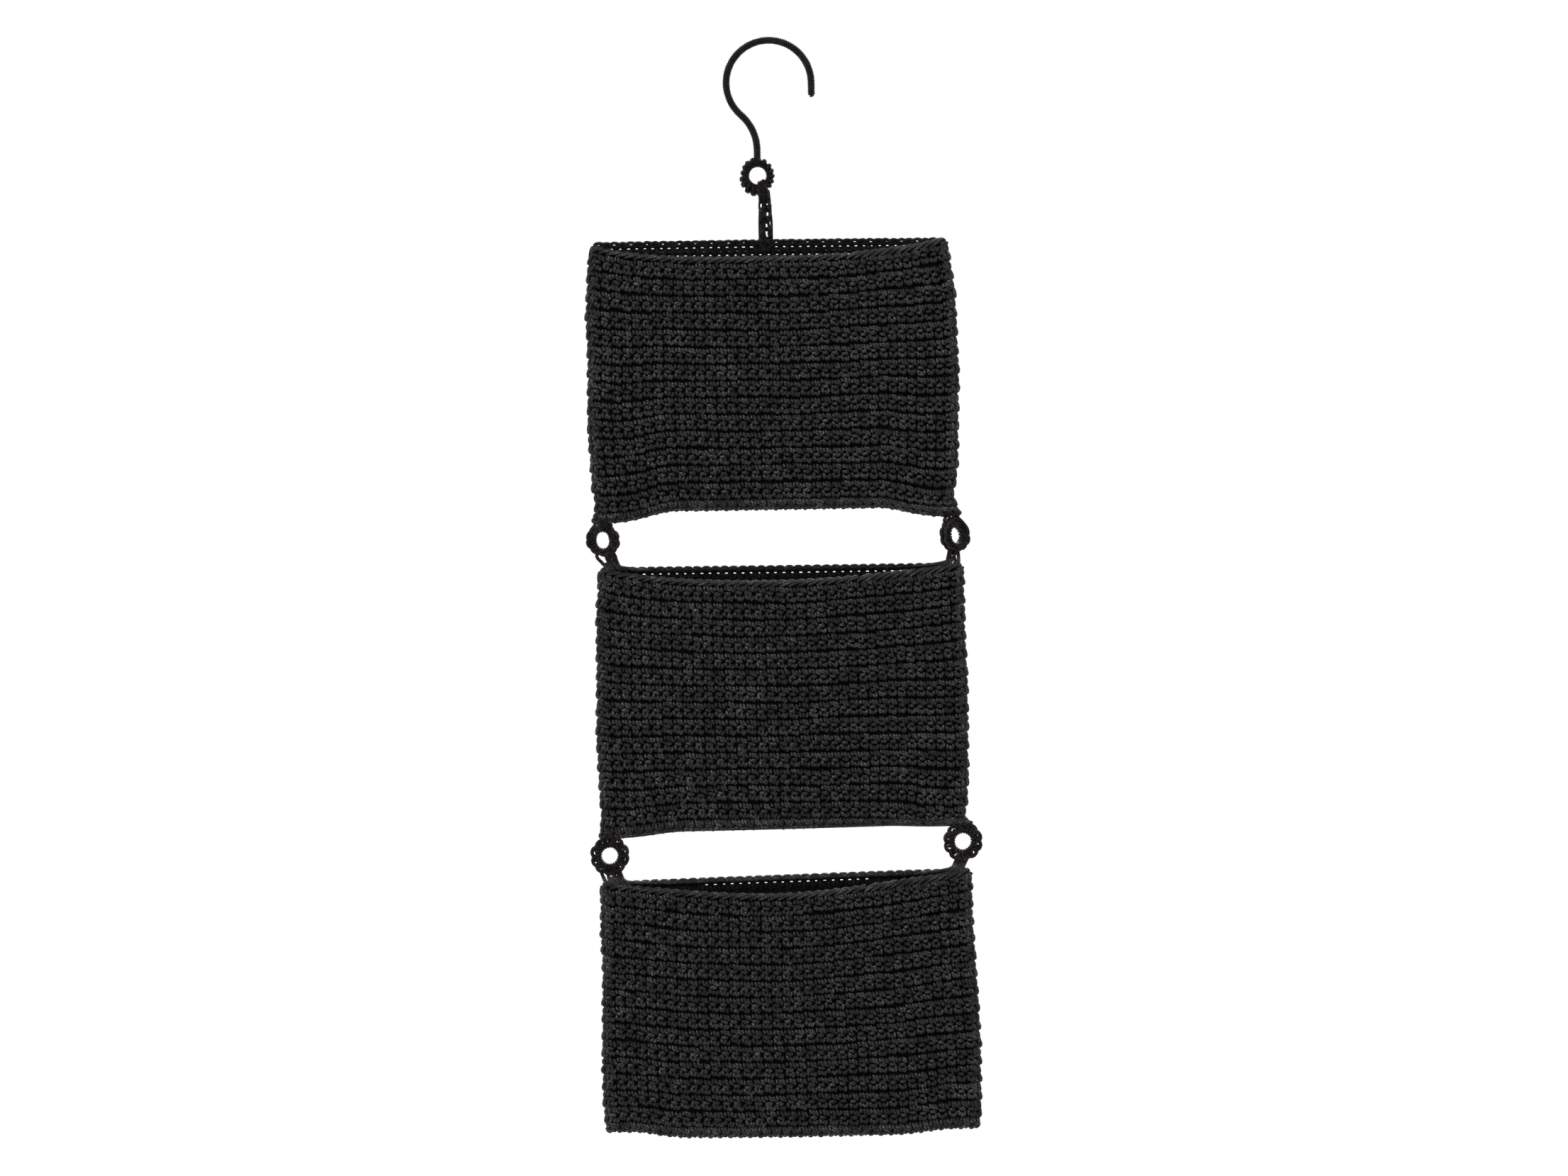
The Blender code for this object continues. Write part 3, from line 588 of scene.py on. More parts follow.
# How far the left and the right edge and the middle hang from true, by depth in mm: mm to the right
# (the edges only), then mm up
HANGING_LEFT = [
    (120, 5, 0), (137, 4.5, 0.7), (156, 0.3, 1), (191, -1.7, 1.5), (215, -1, 1.5), (270, -2, 1.5),
    (310, 0, 0.5), (322, 2, -1), (336, -0.6, 1), (348, -0.4, 1), (362, 0.5, 1.4), (370, 3.4, 1.8),
    (380, 3, 1.8), (395, 1.2, 1.6), (460, -0.1, 1.5), (490, -0.9, 1.4), (545, 1.2, -0.4), (556, -0.5, -1.4),
    (582, -0.8, -1.4), (592, -0.2, -1.2), (622, -1.2, -1), (650, -0.3, -1), (712, -2, -0.5), (745, -2, 0.5),
    (765, 0, 1),
]
HANGING_RIGHT = [
    (120, -8.3, 0), (137, -8.3, -1.7), (150, -6.4, -1.7), (175, -3.1, -1.6), (235, -1.6, -1.5),
    (255, -2.6, -1.5), (297, -3.7, -1.5), (320, -7.4, -2.4), (338, -1, -1.4), (348, 0.2, -1.4),
    (362, 0, -1), (372, -1.6, -0.6), (420, -1.6, -1), (450, -0.5, -1.2), (520, -1.6, -2.4),
    (545, -4.2, -4.4), (556, 0.6, 3.2), (582, 0.6, 3.2), (592, -1, 2.2), (622, -0.8, 2), (682, 1.9, 1),
    (710, 2.8, 0.5), (757, 1.9, -0.5), (765, 0, -1),
]
HANGING_MIDDLE = [
    (139, 0), (300, -0.5), (326, -2), (345, 0), (372, 0.4), (530, -0.5), (550, -1.2), (590, 0.8), (700, 0),
    (765, -1.2),
]


def settle(points):
    """Where the cloth really hangs: each pocket a little out of square and out of level."""
    x, y, z = np.moveaxis(np.asarray(points, float), -1, 0) / MM
    depth, up = np.array(HANGING_MIDDLE).T
    moved_x, moved_z = x, z + np.clip(1 - np.abs(x) / 105, 0, 1) ** 0.5 * np.interp(-z, depth, up)
    for side, stations in ((-1, HANGING_LEFT), (1, HANGING_RIGHT)):
        depth, right, up = np.array(stations).T
        share = np.clip(x * side / 131, 0, 1)
        moved_x = moved_x + share * np.interp(-z, depth, right)
        moved_z = moved_z + share * np.interp(-z, depth, up)
    return np.stack([moved_x, y, moved_z], -1) * MM


def crochet_rows(surface, outward, pocket, seed, top=0.0, pitch=None):
    """A panel's strands row by row, how thick each is, and the rows inside the cloth. top is the depth
    of the first row, in metres, and pitch that of a row pair where it isn't a 14th of the panel."""
    rng = np.random.default_rng(seed)
    low, high = panel_levels(pocket, np.zeros(1))
    depth = float(high[0] - low[0])
    pitch = (pitch or depth / ROW_PAIRS) / depth
    first = top / depth
    routes, weights, inner = [], [], []

    def lay(across, down, out):
        """Points of the cloth from stitches across, share down and mm out."""
        x = np.interp(across, np.arange(STITCHES + 1), STITCH_EDGES)
        here = surface(pocket, x, down)
        to_side = surface(pocket, x + 0.5 * MM, down) - here
        to_foot = surface(pocket, x, down + 0.002) - here
        normal = np.cross(to_side, to_foot)
        normal *= outward * np.sign(normal[..., 1:2]) / np.linalg.norm(normal, axis=-1)[..., None]
        return settle(here + normal * out[..., None] * MM)

    cells = np.arange(STITCHES)
    lean = smooth_step(0.45, 0.75, cells / STITCHES)[:, None]
    wander = np.cumsum(rng.normal(0, 0.03, ROW_PAIRS + 1))
    for pair in range(ROW_PAIRS + 1):
        for at, inside in INNER_ROWS:
            share = first + pitch * (pair + at)
            if share < 1.03:
                across = np.linspace(0, STITCHES, INNER_POINTS[outward] + 1)
                rise = 0.7 * np.sin(across * 2 * math.pi + rng.uniform(0, 6.3)) * MM / depth
                inner.append(lay(across, share + rise, -inside + rng.normal(0, 0.15, len(across))))
        legs = LEG_STRANDS if outward < 0 else BACK_LEG_STRANDS
        strands = [(np.array([row] * STITCHES), 0.35) for row in legs]
        bumps = list(zip(BUMP_STRANDS_LEFT, BUMP_STRANDS_RIGHT))
        for left, right in bumps if outward < 0 else bumps[:-1]:
            strands.append((np.array([left]) * (1 - lean) + np.array([right]) * lean, 0.9))
        uneven = rng.normal(0, 0.03, (STITCHES, 1))
        for strand, foot in strands:
            if first + pitch * (pair + foot) > 1.01:
                continue
            strand = strand + rng.normal(0, 1, strand.shape) * STRAND_UNEVEN
            u, v, half_x, half_z, out, radius = strand.T[:, :, None]
            wave = 0.03 * np.sin(cells[:, None] * 0.45 + pair * 1.1 + seed) + uneven
            across = cells[:, None] + u + wander[pair] + STRAND_PLACE * half_x / 7.1
            below = pair + v + wave + STRAND_PLACE * half_z * MM / (pitch * depth)
            height = out * STRAND_LIFT + rng.normal(0, 0.08, across.shape)
            lift = np.where(STRAND_LIFT > 0, height, STRAND_LIFT)
            points = lay(np.clip(across, 0, STITCHES), first + pitch * below, lift)
            routes.extend(points)
            thickness = radius * STRAND_SWELL * rng.uniform(0.92, 1.08, across.shape)
            weights.extend(thickness * MM / CORD_RADIUS)
    return routes, weights, inner


# Stitches are a little wider in the middle than at the right
STITCH_WIDTHS = np.interp(np.arange(STITCHES) / STITCHES, [0, 0.45, 0.8, 1], [7.2, 7.4, 6.7, 6.8])
STITCH_EDGES = np.cumsum(np.r_[0, STITCH_WIDTHS])
STITCH_EDGES = (STITCH_EDGES / STITCH_EDGES[-1] * 2 - 1) * (PANEL_HALF + 1.6 * MM)


def edge_strands(pitch, centre, strands, ends=(-HALF_WIDTH, HALF_WIDTH), seed=1):
    """Short strands repeated along an edge. centre gives points by x; a strand is a list of
    (share of pitch, up in mm, towards the front in mm)."""
    rng = np.random.default_rng(seed)
    count = round((ends[1] - ends[0]) / pitch)
    pitch = (ends[1] - ends[0]) / count
    routes = []
    for number in range(count):
        for strand in strands:
            uneven = rng.normal(0, 0.06, (len(strand), 3)) * (0.5, 1, 1)
            share, up, front = (np.array(strand, float) + uneven).T
            x = np.clip(ends[0] + (number + share) * pitch, ends[0], ends[1])
            routes.append(settle(smoothed(centre(x) + np.c_[0 * up, -front, up] * MM, 3)))
    return routes


# The top of a back panel, which shows above the front rim: plain bands, with a slit in each stitch. The
# lower row of slits is closed in the two lower pockets, and so is the upper one towards their corners
BACK_PITCH = 5.9 * MM
BACK_ROWS_TOP = 8.7 * MM
BACK_ROW_PAIR = 12.3 * MM
BACK_TOP_CORD = 1.35 * MM
BACK_TOP_STRANDS = [
    [(-0.1, -0.6, 0.3), (0.2, -0.1, 0.8), (0.5, 0, 0.9), (0.8, -0.1, 0.8), (1.1, -0.6, 0.3)],
    [(-0.1, -0.6, -0.3), (0.3, 0, -0.9), (0.7, 0, -0.9), (1.1, -0.6, -0.3)],
    [(0.02, -1, -0.2), (0, -3.4, 0.9), (0.05, -6, 0.9), (0.25, -9.4, 0.2)],
    [(0.5, -3.6, -0.2), (0.4, -4.4, 0.7), (0.35, -5.2, 0.7), (0.3, -6, -0.2)],
    [(0.02, -1.2, -0.4), (0, -5, -1), (0.2, -9.4, -0.4)],
    [(0, -3, -0.2), (1, -3, -0.2)],
    [(0, -5.5, -0.2), (1, -5.5, -0.2)],
    [(0, -8.5, -0.3), (1, -8.5, -0.3)],
    [(0, -1.7, -0.3), (0.35, -1.7, -0.3)], [(0.65, -1.7, -0.3), (1, -1.7, -0.3)],
    [(0, -6.9, -0.3), (0.42, -7.1, -0.3)], [(0.66, -6.7, -0.3), (1, -6.8, -0.3)],
]
LOWER_TOP_STRANDS = BACK_TOP_STRANDS + [
    [(0, -6.8, -0.3), (1, -6.8, -0.3)],
    [(0, -3.35, -0.2), (1, -3.35, -0.2)],
]
CLOSED_SLIT = [[(0, -1.7, -0.3), (1, -1.7, -0.3)], [(0, -4.3, -0.2), (1, -4.3, -0.2)]]
for name, pocket in POCKETS.items():
    front_rows = crochet_rows(front_surface, -1, pocket, pocket["seed"])
    back_rows = crochet_rows(back_surface, 1, pocket, pocket["seed"] + 20, BACK_ROWS_TOP, BACK_ROW_PAIR)
    for side, (routes, weights, inner) in (("front", front_rows), ("back", back_rows)):
        pieces = [
            cord_piece(f"{name}_{side}_crochet", routes, CORD_RADIUS, crochet_cord, radii=weights),
            cord_piece(f"{name}_{side}_inner_rows", inner, INNER_CORD, shaded_cord, resolution=0),
        ]
        if side == "back":
            first, last = pocket["slits"]
            routes = []
            for row, ends in (
                (BACK_TOP_STRANDS if name == "upper" else LOWER_TOP_STRANDS, (-HALF_WIDTH, HALF_WIDTH)),
                (CLOSED_SLIT, (-HALF_WIDTH, first)),
                (CLOSED_SLIT, (last, HALF_WIDTH)),
            ):
                routes += edge_strands(
                    BACK_PITCH, lambda x: back_surface(pocket, x, 0 * x), row, ends, seed=pocket["seed"],
                )
            pieces.append(cord_piece(f"{name}_back_top_rows", routes, BACK_TOP_CORD, pocket_shade_cord))
        for piece in pieces:
            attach(piece, f"{name}_pocket")
            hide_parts(f"{name}_pocket_{side}_panel")


# Rims: a chain edge along the top of each panel. A link shows as two fat strands side by side, which
# arch over at the left and lean over to the right at the right.
RIM_PITCH = 6.64 * MM
RIM_BEHIND = [(-0.1, -0.6, -1.2), (0.35, 0.4, -1.8), (0.75, 0.4, -1.8), (1.1, -0.6, -1.2)]
FRONT_RIM_STRANDS = [
    [
        (-0.4, -2, -0.2), (-0.1, -1.3, 1.2), (0.35, -0.1, 1.8),
        (0.8, 0.75, 1.5), (1.2, 0.8, 0.5), (1.45, 0.1, -0.8),
    ],
    [(-0.1, -0.6, -0.8), (0.12, 0.4, 0.4), (0.55, 1.5, 0.3), (0.95, 1.9, -0.2), (1.25, 1.3, -1.2)],
    [(0, -0.4, -0.8), (1, -0.4, -0.8)],
    RIM_BEHIND,
]
# At the right the links are pulled long and thin
FRONT_RIM_RIGHT = [
    [(-0.5, -2.6, 0.2), (0, -1.6, 1.5), (0.6, 0.1, 1.8), (1.2, 1.5, 1), (1.5, 1.9, -0.4)],
    [(-0.25, -1.5, -0.2), (0.2, -0.1, 1.1), (0.7, 1.3, 1), (1.25, 2.2, -0.6)],
    [(0, -0.3, -0.8), (1, -0.3, -0.8)],
    RIM_BEHIND,
]
RIM_TURN = 55 * MM
FRONT_RIM_CORD = 0.92 * MM
BACK_RIM_CORD = 1.15 * MM
# Two links of the upper back rim. Under the first there is a slit
BACK_RIM_STRANDS = [
    [(-0.07, -0.7, 0.2), (0.1, 0.4, 0.9), (0.27, 0.75, 1), (0.44, 0.3, 0.8), (0.56, -0.7, 0.1)],
    [(0.43, -0.8, 0.2), (0.6, 0.3, 0.9), (0.77, 0.6, 1), (0.94, 0.2, 0.8), (1.06, -0.7, 0.1)],
    [(-0.07, -0.5, -0.3), (0.1, 0.5, -0.9), (0.27, 0.8, -1), (0.44, 0.4, -0.8), (0.56, -0.5, -0.2)],
    [(0.43, -0.5, -0.3), (0.6, 0.5, -0.9), (0.77, 0.8, -1), (0.94, 0.4, -0.8), (1.06, -0.5, -0.2)],
    [(0, -0.9, 0), (0.2, -0.9, 0)],
    [(0.31, -0.9, 0), (1, -0.9, 0)],
]
# A link of the two lower back rims: fatter, and facing the front
FAT_RIM_STRANDS = [
    [(0.04, -0.9, 0.6), (0.2, 0.3, 1.3), (0.5, 0.75, 1.5), (0.78, 0.2, 1.3), (0.94, -1, 0.6)],
    [(0.1, -1.5, 0.7), (0.28, -0.9, 1.9), (0.66, -0.9, 2), (0.9, -1.6, 0.8)],
    [(0, -0.5, -0.9), (0.3, 0.6, -1), (0.7, 0.6, -1), (1, -0.5, -0.9)],
    [(0, -0.9, 0), (1, -0.9, 0)],
]
for name, pocket in POCKETS.items():
    edge = HALF_WIDTH - 1.5 * MM
    front_links = [
        (FRONT_RIM_STRANDS, RIM_PITCH, (-edge, RIM_TURN)),
        (FRONT_RIM_RIGHT, RIM_PITCH, (RIM_TURN, edge - 3 * MM)),
    ]
    back_links = [(FAT_RIM_STRANDS, RIM_PITCH, (-edge, edge))]
    if name == "upper":
        back_links = [(BACK_RIM_STRANDS, 2 * BACK_PITCH, (-edge, edge))]
    # The upper and middle back rims take the darker brown-black cord as painted shade; the lower one takes
    # the panels' cord
    back_cord = crochet_cord if name == "lower" else edging_cord
    for side, surface, stretches, radius, cord in (
        ("front", front_surface, front_links, FRONT_RIM_CORD, crochet_cord),
        ("back", back_surface, back_links, BACK_RIM_CORD, back_cord),
    ):
        def rim_line(x):
            return surface(pocket, x, 0 * x) + np.array([0, 0, RIM_RISE])

        routes = []
        for strands, pitch, ends in stretches:
            routes += edge_strands(pitch, rim_line, strands, ends, seed=pocket["seed"] + 40)
        rim = cord_piece(f"{name}_{side}_chain_edge", routes, radius, cord)
        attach(rim, f"{name}_pocket")
        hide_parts(f"{name}_pocket_{side}_rim")


# Side seams: a row worked through both panels down each side. On each face it shows three strands
# for a pair of rows, and along the edge two long ones that end in a notch. Each strand: its radius in
# mm, then where it passes: mm in from the edge, row pairs down, and mm to the front.
SIDE_STRANDS = [
    (1.05, [(4.2, 0, 1.4), (3.6, 0.09, 2.9), (3, 0.24, 2.9), (2.8, 0.36, 1.2)]),
    (1.12, [(2, 0.42, 1.2), (3, 0.44, 3), (4.4, 0.46, 3.3), (5.6, 0.48, 1.6)]),
    (1.12, [(4.6, 0.58, 1.2), (3.9, 0.66, 3), (3.1, 0.82, 3), (2.8, 0.94, 1)]),
    (1.32, [(3.2, -0.02, 0.9), (1.7, 0.07, 1.3), (1, 0.22, 1.4), (1.2, 0.38, 1.4), (2.6, 0.5, 0.9)]),
    (1.42, [(2.8, 0.4, 0.9), (1.2, 0.52, 1.4), (0.6, 0.68, 1.5), (0.5, 0.86, 1.4), (3.2, 0.99, 0.7)]),
]
# Cords that fill the seam: mm in from the edge, mm to the front, and radius in mm
SIDE_FILLERS = ((2.9, 0, 1.4), (5, 0.5, 1.3), (5, -0.5, 1.3))
for name, pocket in POCKETS.items():
    low, high = panel_levels(pocket, np.array([HALF_WIDTH]))
    length = float(high[0] - low[0])
    for side, sign in (("left", -1), ("right", 1)):
        rng = np.random.default_rng(pocket["seed"] + 60 + sign)
        routes, weights = [], []
        for bump in range(ROW_PAIRS):
            for radius, strand in SIDE_STRANDS:
                for face in (1, -1):
                    uneven = rng.normal(0, 1, (len(strand), 3)) * (0.2, 0.012, 0.12)
                    inward, below, front = (np.array(strand) + uneven).T
                    x = sign * (HALF_WIDTH - inward * MM)
                    z = high[0] - (bump + below) * length / ROW_PAIRS
                    routes.append(settle(smoothed(np.c_[x, -face * front * MM, z], 2)))
                    weights.append(one_thickness(radius * rng.uniform(0.92, 1.08), routes[-1]))
        for inward, front, radius in SIDE_FILLERS:
            z = np.linspace(high[0], low[0], 30)
            routes.append(settle(np.c_[0 * z + sign * (HALF_WIDTH - inward * MM), 0 * z - front * MM, z]))
            weights.append(one_thickness(radius, z))
        seam = cord_piece(f"{name}_{side}_joining_row", routes, CORD_RADIUS, crochet_cord, radii=weights)
        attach(seam, f"{name}_pocket")
        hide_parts(f"{name}_pocket_{side}_side_seam")


# Bottom seams: one row worked through both panels along the foot. Above, legs like those of the
# cloth; under them a low edge of lying strands, long and short in turn.
SEAM_PITCH = 7.1 * MM
SEAM_STRANDS = [
    [(0.42, 4, 1.2), (0.49, 2.8, 2.9), (0.6, 1.2, 3.2), (0.72, -0.2, 2.5), (0.78, -0.8, 1)],
    [(0.76, 3.8, 1.2), (0.82, 2.6, 2.9), (0.93, 1, 3.2), (1.04, -0.4, 2.5), (1.1, -1, 1)],
    [(0.16, 4, 1), (0.17, 2.8, 2.5), (0.2, 1.3, 2.7), (0.24, 0, 1.2)],
    [(0.34, 3.4, -1.4), (0.46, 2.3, -3), (0.62, 1, -3.3), (0.78, -0.2, -2.9), (0.86, -0.8, -1.4)],
    [(0.08, 3, -1.4), (0.1, 1.9, -2.8), (0.12, 0.5, -2.9), (0.13, -0.6, -1.6)],
    [(0.02, -0.2, 0.8), (0.08, -1.7, 2), (0.26, -2.6, 1.8), (0.44, -1.9, 1.6), (0.5, -0.2, 0.6)],
    [(0.54, -0.2, 0.6), (0.62, -1.6, 1.8), (0.75, -2.1, 1.7), (0.88, -1.4, 1.5), (0.94, -0.2, 0.6)],
    [(0, -0.4, -0.8), (0.08, -1.6, -1.8), (0.24, -2.4, -1.6), (0.42, -1.7, -1.6), (0.5, -0.4, -0.8)],
    [(0.54, -0.4, -0.8), (0.64, -1.7, -1.6), (0.76, -1.9, -1.6), (0.92, -0.4, -0.8)],
    [(0, 2.8, 0.2), (1, 2.8, 0.2)],
    [(0, 1, 0.2), (1, 1, 0.2)],
    [(0, -0.5, 0.2), (1, -0.5, 0.2)],
]
for name, pocket in POCKETS.items():
    def seam_line(x):
        return np.stack([x, 0 * x, panel_levels(pocket, x)[0] - SEAM_RADIUS], -1)

    routes = edge_strands(SEAM_PITCH, seam_line, SEAM_STRANDS, seed=pocket["seed"] + 80)
    seam = cord_piece(f"{name}_foot_joining_row", routes, CORD_RADIUS, crochet_cord)
    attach(seam, f"{name}_pocket")
    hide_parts(f"{name}_pocket_bottom_seam")


# Corner rings: a stiff black moulded ring inside, covered with short stitches that cross its band,
# and closed by a chain round its outside. They turn on the stitches above and below them.
RING_X = HALF_WIDTH - 7 * MM
RING_LOBES = 10
RING_CORE = 8 * MM
RING_CORE_WIRE = 1.5 * MM
# Inner and outer radius of the stitches' band, and the radius of the chain's crests
RING_BANDS = {
    "upper_link": (5.5 * MM, 10.3 * MM, 12 * MM),
    "lower_link": (5.3 * MM, 11.4 * MM, 13.9 * MM),
}
# How often a cord is wound round each ring, and that cord's radius in mm
RING_WRAPS = 20
RING_CORD = 1.08
# The cover is fuller where a ring is seen askew
RING_HALF_DEPTH = 3.5 * MM
ASKEW_HALF_DEPTH = 4.9 * MM
# How much narrower across the upper left ring's hole is drawn
UPPER_LEFT_OVAL = 0.27
RINGS = {
    "upper_left": ((-RING_X, 0, -348.294 * MM), 0.0, "upper_link", "upper_ring_left"),
    "upper_right": ((RING_X, 0, -348.294 * MM), math.radians(38), "upper_link", "upper_ring_right"),
    "lower_left": ((-RING_X, 0, -568.494 * MM), 0.0, "lower_link", "lower_ring_left"),
    "lower_right": ((RING_X, 0, -568.494 * MM), 0.0, "lower_link", "lower_ring_right"),
}

plastic, tree, shader = new_material("moulded_black_plastic", IOR=1.49)
grain = noise(tree, 1400.0, 2.0)
gloss = spread(tree, grain, To_Min=0.55, To_Max=0.7)
tree.links.new(gloss, shader.inputs["Roughness"])
tint = add_node(tree, "ShaderNodeValToRGB", (), Fac=grain)
tint.color_ramp.elements[0].color = linear("#080808")
tint.color_ramp.elements[1].color = linear("#101010")
tree.links.new(tint.outputs[0], shader.inputs["Base Color"])

for number, (name, (centre, turn, link, body)) in enumerate(RINGS.items()):
    rng = np.random.default_rng(30 + number)
    hole, band, crest = RING_BANDS[link]
    oval = UPPER_LEFT_OVAL if name == "upper_left" else 0.0
    half_depth = ASKEW_HALF_DEPTH if turn else RING_HALF_DEPTH
    routes = [band_winding(
        centre, turn, (hole, band), half_depth, RING_WRAPS, RING_CORD * MM, 40 + number, oval,
    )]
    weights = [one_thickness(RING_CORD, routes[0])]
    for lobe in range(RING_LOBES):
        pitch = 2 * math.pi / RING_LOBES
        start = pitch * (lobe + rng.uniform(-0.1, 0.1))
        for depth, lead in ((-0.45, 0.0), (0.45, 0.12)):
            angle = start + (np.array([-0.14, 0.0, 0.28, 0.62, 0.92, 1.08]) + lead) * pitch
            rise = np.array([-0.5, 0.35, 0.95, 1.0, 0.45, -0.5]) * rng.uniform(0.9, 1.1)
            radius = band - 1 * MM + (crest - 1.25 * MM - band + 1 * MM) * rise
            routes.append(smoothed(round_ring(centre, turn, angle, radius, depth * half_depth), 2))
            weights.append(np.full(len(routes[-1]), rng.uniform(1.08, 1.25)))
    routes = [settle(route) for route in routes]
    cover = cord_piece(f"{name}_ring_stitches", routes, CORD_RADIUS, edging_cord, radii=weights)
    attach(cover, body)
    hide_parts(f"{name}_ring_cover")

    bpy.ops.mesh.primitive_torus_add(
        location=settle([centre])[0], rotation=(math.pi / 2, 0, turn), major_radius=RING_CORE,
        minor_radius=RING_CORE_WIRE, major_segments=48, minor_segments=12,
    )
    bpy.ops.object.transform_apply()
    bpy.ops.object.shade_smooth()
    core = bpy.context.object
    core.name = f"{name}_ring_core"
    core.data.materials.append(plastic)
    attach(core, body)
    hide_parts(f"{name}_ring")


# Ties and tabs: the stitches that hold each ring between the pocket above and the rim below. Under the
# ring they part in two bundles with light between, and sweep into the rim.
# Of each link: the heights of its rings, of the axis below them and of the rim below, and its pocket
LINK_LEVELS = {
    "upper": (-348.294 * MM, -364.994 * MM, -369.844 * MM, "middle"),
    "lower": (-568.494 * MM, -583.694 * MM, -588.544 * MM, "lower"),
}
# Fat strands of the neck above a ring: inward and up from its centre, half length inward and up, radius
NECK_STRANDS = [
    (-3, 15, 1.4, -1, 1.4), (1.2, 14.7, 1.5, -0.9, 1.45), (5.4, 14.9, 1.5, -0.7, 1.35),
    (-1.6, 11.9, 1.3, 0.8, 1.3), (2.2, 11.6, 1.4, -0.7, 1.35), (5.6, 11.6, 1, -1.3, 1.2),
]
# The cord down the neck's outer side: inward and up from the ring's centre
NECK_SHOULDER = (
    (-1.6, 23.5), (-2.4, 19.5), (-3.4, 15.5), (-4.9, 11.5), (-7.4, 8), (-9.2, 4.5), (-9.2, 1.5),
)
# Strands below a ring: inward at the ring and at the rim, to the front, how far in they end, and radius.
# At the two right corners they lie closer together
FOOT_STRANDS = {
    "upper_left": [
        (-5.2, -1.6, 0.5, 0.8, 1.35), (1.4, 2.6, 1.9, 5, 1.15), (4.6, 1, 0.9, 3, 1.1),
        (2.6, 6, 2.6, 8, 1.1), (6.2, 6.4, 1, 10, 1.1), (8.2, 8.8, 0.7, 13, 1),
    ],
    "lower_left": [
        (-5.8, -4.2, 0.5, -2, 1.3), (-1.6, -1, 1, 2, 1.15), (1.4, 4.8, 1.9, 6, 1.15), (4, 1.4, 0.8, 4, 1.1),
        (7.2, 9, 0.9, 13, 1.15), (5.2, 6.6, 1.3, 10, 1.1),
    ],
    "upper_right": [
        (-1.8, -3, 0.6, -3.2, 1.2), (-0.4, 2.2, 1.8, 4, 1.15), (1.8, -0.6, 0.8, 0.6, 1.1),
        (3.2, 3.8, 1.5, 9, 1.15), (4.6, 5.6, 0.8, 12, 1.05),
    ],
    "lower_right": [
        (-2.6, -0.6, 0.8, 1, 1.2), (-0.4, 2.8, 1.8, 5, 1.2), (1.8, 1, 0.8, 3, 1.1),
        (3.2, 4.8, 1.5, 10, 1.15), (4.8, 6.8, 0.8, 14, 1.05),
    ],
}
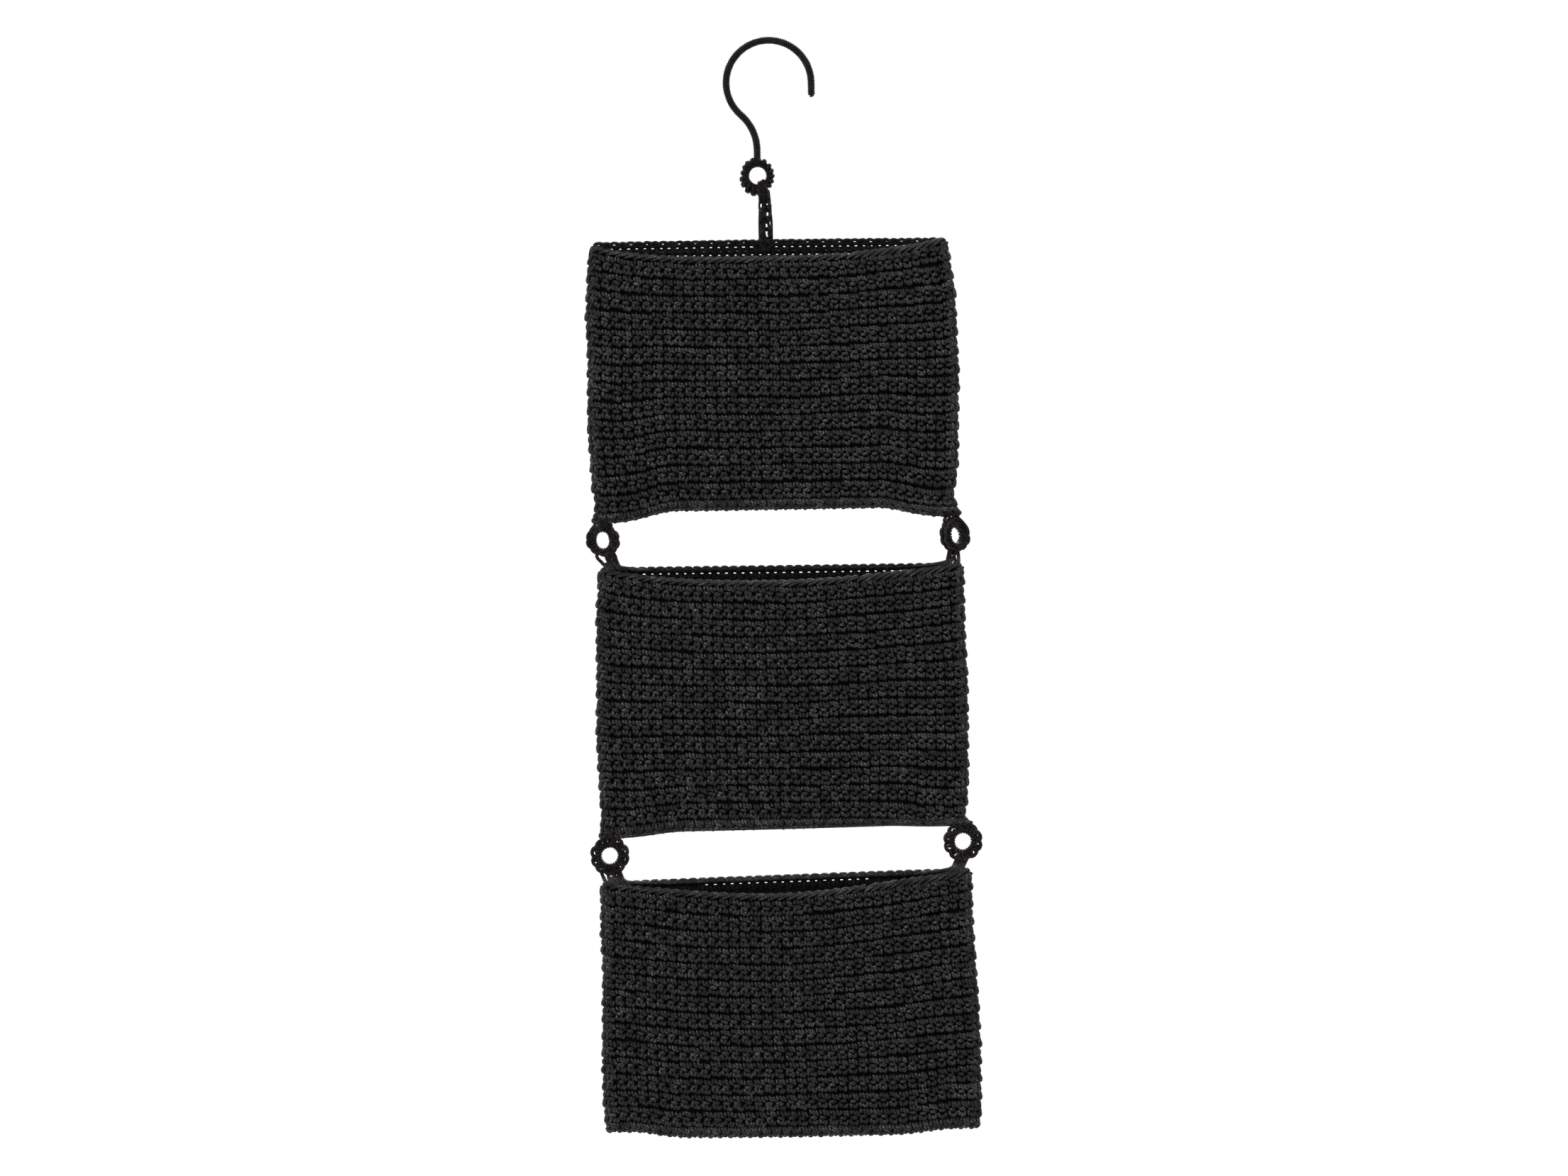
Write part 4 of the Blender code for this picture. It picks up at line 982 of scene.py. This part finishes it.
# Cords that sweep into the front rim: how far in they end, and how far in front they pass
RIM_SWEEPS = ((30, 2.6), (22, 1.4))
for number, (name, (centre, turn, link, body)) in enumerate(RINGS.items()):
    rng = np.random.default_rng(50 + number)
    row, side = name.split("_")
    ring_z, axis_z, rim_z, pocket = LINK_LEVELS[row]
    inward = -np.sign(centre[0])

    def beside(across, front, z):
        return centre[0] + inward * across * MM, -front * MM, z

    top_routes, top_weights, foot_routes, foot_weights, tab_routes, tab_weights = [], [], [], [], [], []
    for across, up, half_x, half_z, radius in NECK_STRANDS:
        for face in (1, -1):
            place = (across + STRAND_PLACE * half_x, up + STRAND_PLACE * half_z)
            lift = np.where(STRAND_LIFT > 0, 1.3 + 1.3 * STRAND_LIFT, 0.4)
            points = np.stack(beside(place[0], face * lift, ring_z + place[1] * MM), -1)
            top_routes.append(settle(points))
            top_weights.append(radius * rng.uniform(0.95, 1.05) * STRAND_SWELL * MM / CORD_RADIUS)
    for face in (0.9, -0.9):
        shoulder = [beside(across, face, ring_z + up * MM) for across, up in NECK_SHOULDER]
        top_routes.append(settle(smoothed(shoulder, 3)))
        top_weights.append(np.full(len(top_routes[-1]), 0.95))
    for at_ring, at_rim, front, end, radius in FOOT_STRANDS[name]:
        for face in (1, -1):
            line = smoothed([
                beside(at_ring * 0.85, face * 0.5, ring_z - 9.4 * MM),
                beside(at_ring, face * front, ring_z - 11.9 * MM),
                beside((at_ring + at_rim) / 2, face * front, (ring_z - 8.9 * MM + rim_z) / 2),
                beside(at_rim, face * (front + 0.6), rim_z + 3 * MM),
                beside((at_rim + end) / 2, face * (front + 1.4), rim_z + 0.9 * MM),
                beside(end, face * 1.8, rim_z - 0.9 * MM),
            ], 8)
            split = np.searchsorted(-line[:, 2], -axis_z)
            foot_routes.append(settle(line[: split + 2]))
            tab_routes.append(settle(line[split - 1 :]))
            foot_weights.append(one_thickness(radius, foot_routes[-1]))
            tab_weights.append(one_thickness(radius, tab_routes[-1]))
    for sweep, front in RIM_SWEEPS:
        line = [
            beside(sweep, front + 1.2, rim_z - 0.6 * MM),
            beside(sweep * 0.6, front + 0.6, rim_z + 0.6 * MM),
            beside(sweep * 0.3, front, rim_z + 2 * MM),
            beside(sweep * 0.08, front * 0.6, rim_z + 3.9 * MM),
            beside(-0.5, front * 0.4, rim_z + 4.6 * MM),
        ]
        tab_routes.append(settle(smoothed(line, 4)))
        tab_weights.append(np.full(len(tab_routes[-1]), 0.85))
    below = f"{pocket}_pocket"
    for piece_name, routes, weights, node, carrier in (
        (f"{name}_neck_stitches", top_routes, top_weights, f"{name}_ring_top_tie", link),
        (f"{name}_foot_stitches", foot_routes, foot_weights, f"{name}_ring_bottom_tie", link),
        (f"{pocket}_{side}_corner_stitches", tab_routes, tab_weights, f"{below}_{side}_tab", below),
    ):
        cord = edging_cord if carrier == link else crochet_cord
        tie = cord_piece(piece_name, routes, CORD_RADIUS, cord, radii=weights)
        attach(tie, carrier)
        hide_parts(node)


# Floor: a plain pale sheet well below the organiser
bpy.ops.mesh.primitive_plane_add(size=2.4, location=(0, 0, -1.15))
floor = bpy.context.object
floor.name = "studio_floor"
floor_paint = new_material("pale_studio_floor", Base_Color=linear("#ecebe8"), Roughness=0.8)[0]
floor.data.materials.append(floor_paint)
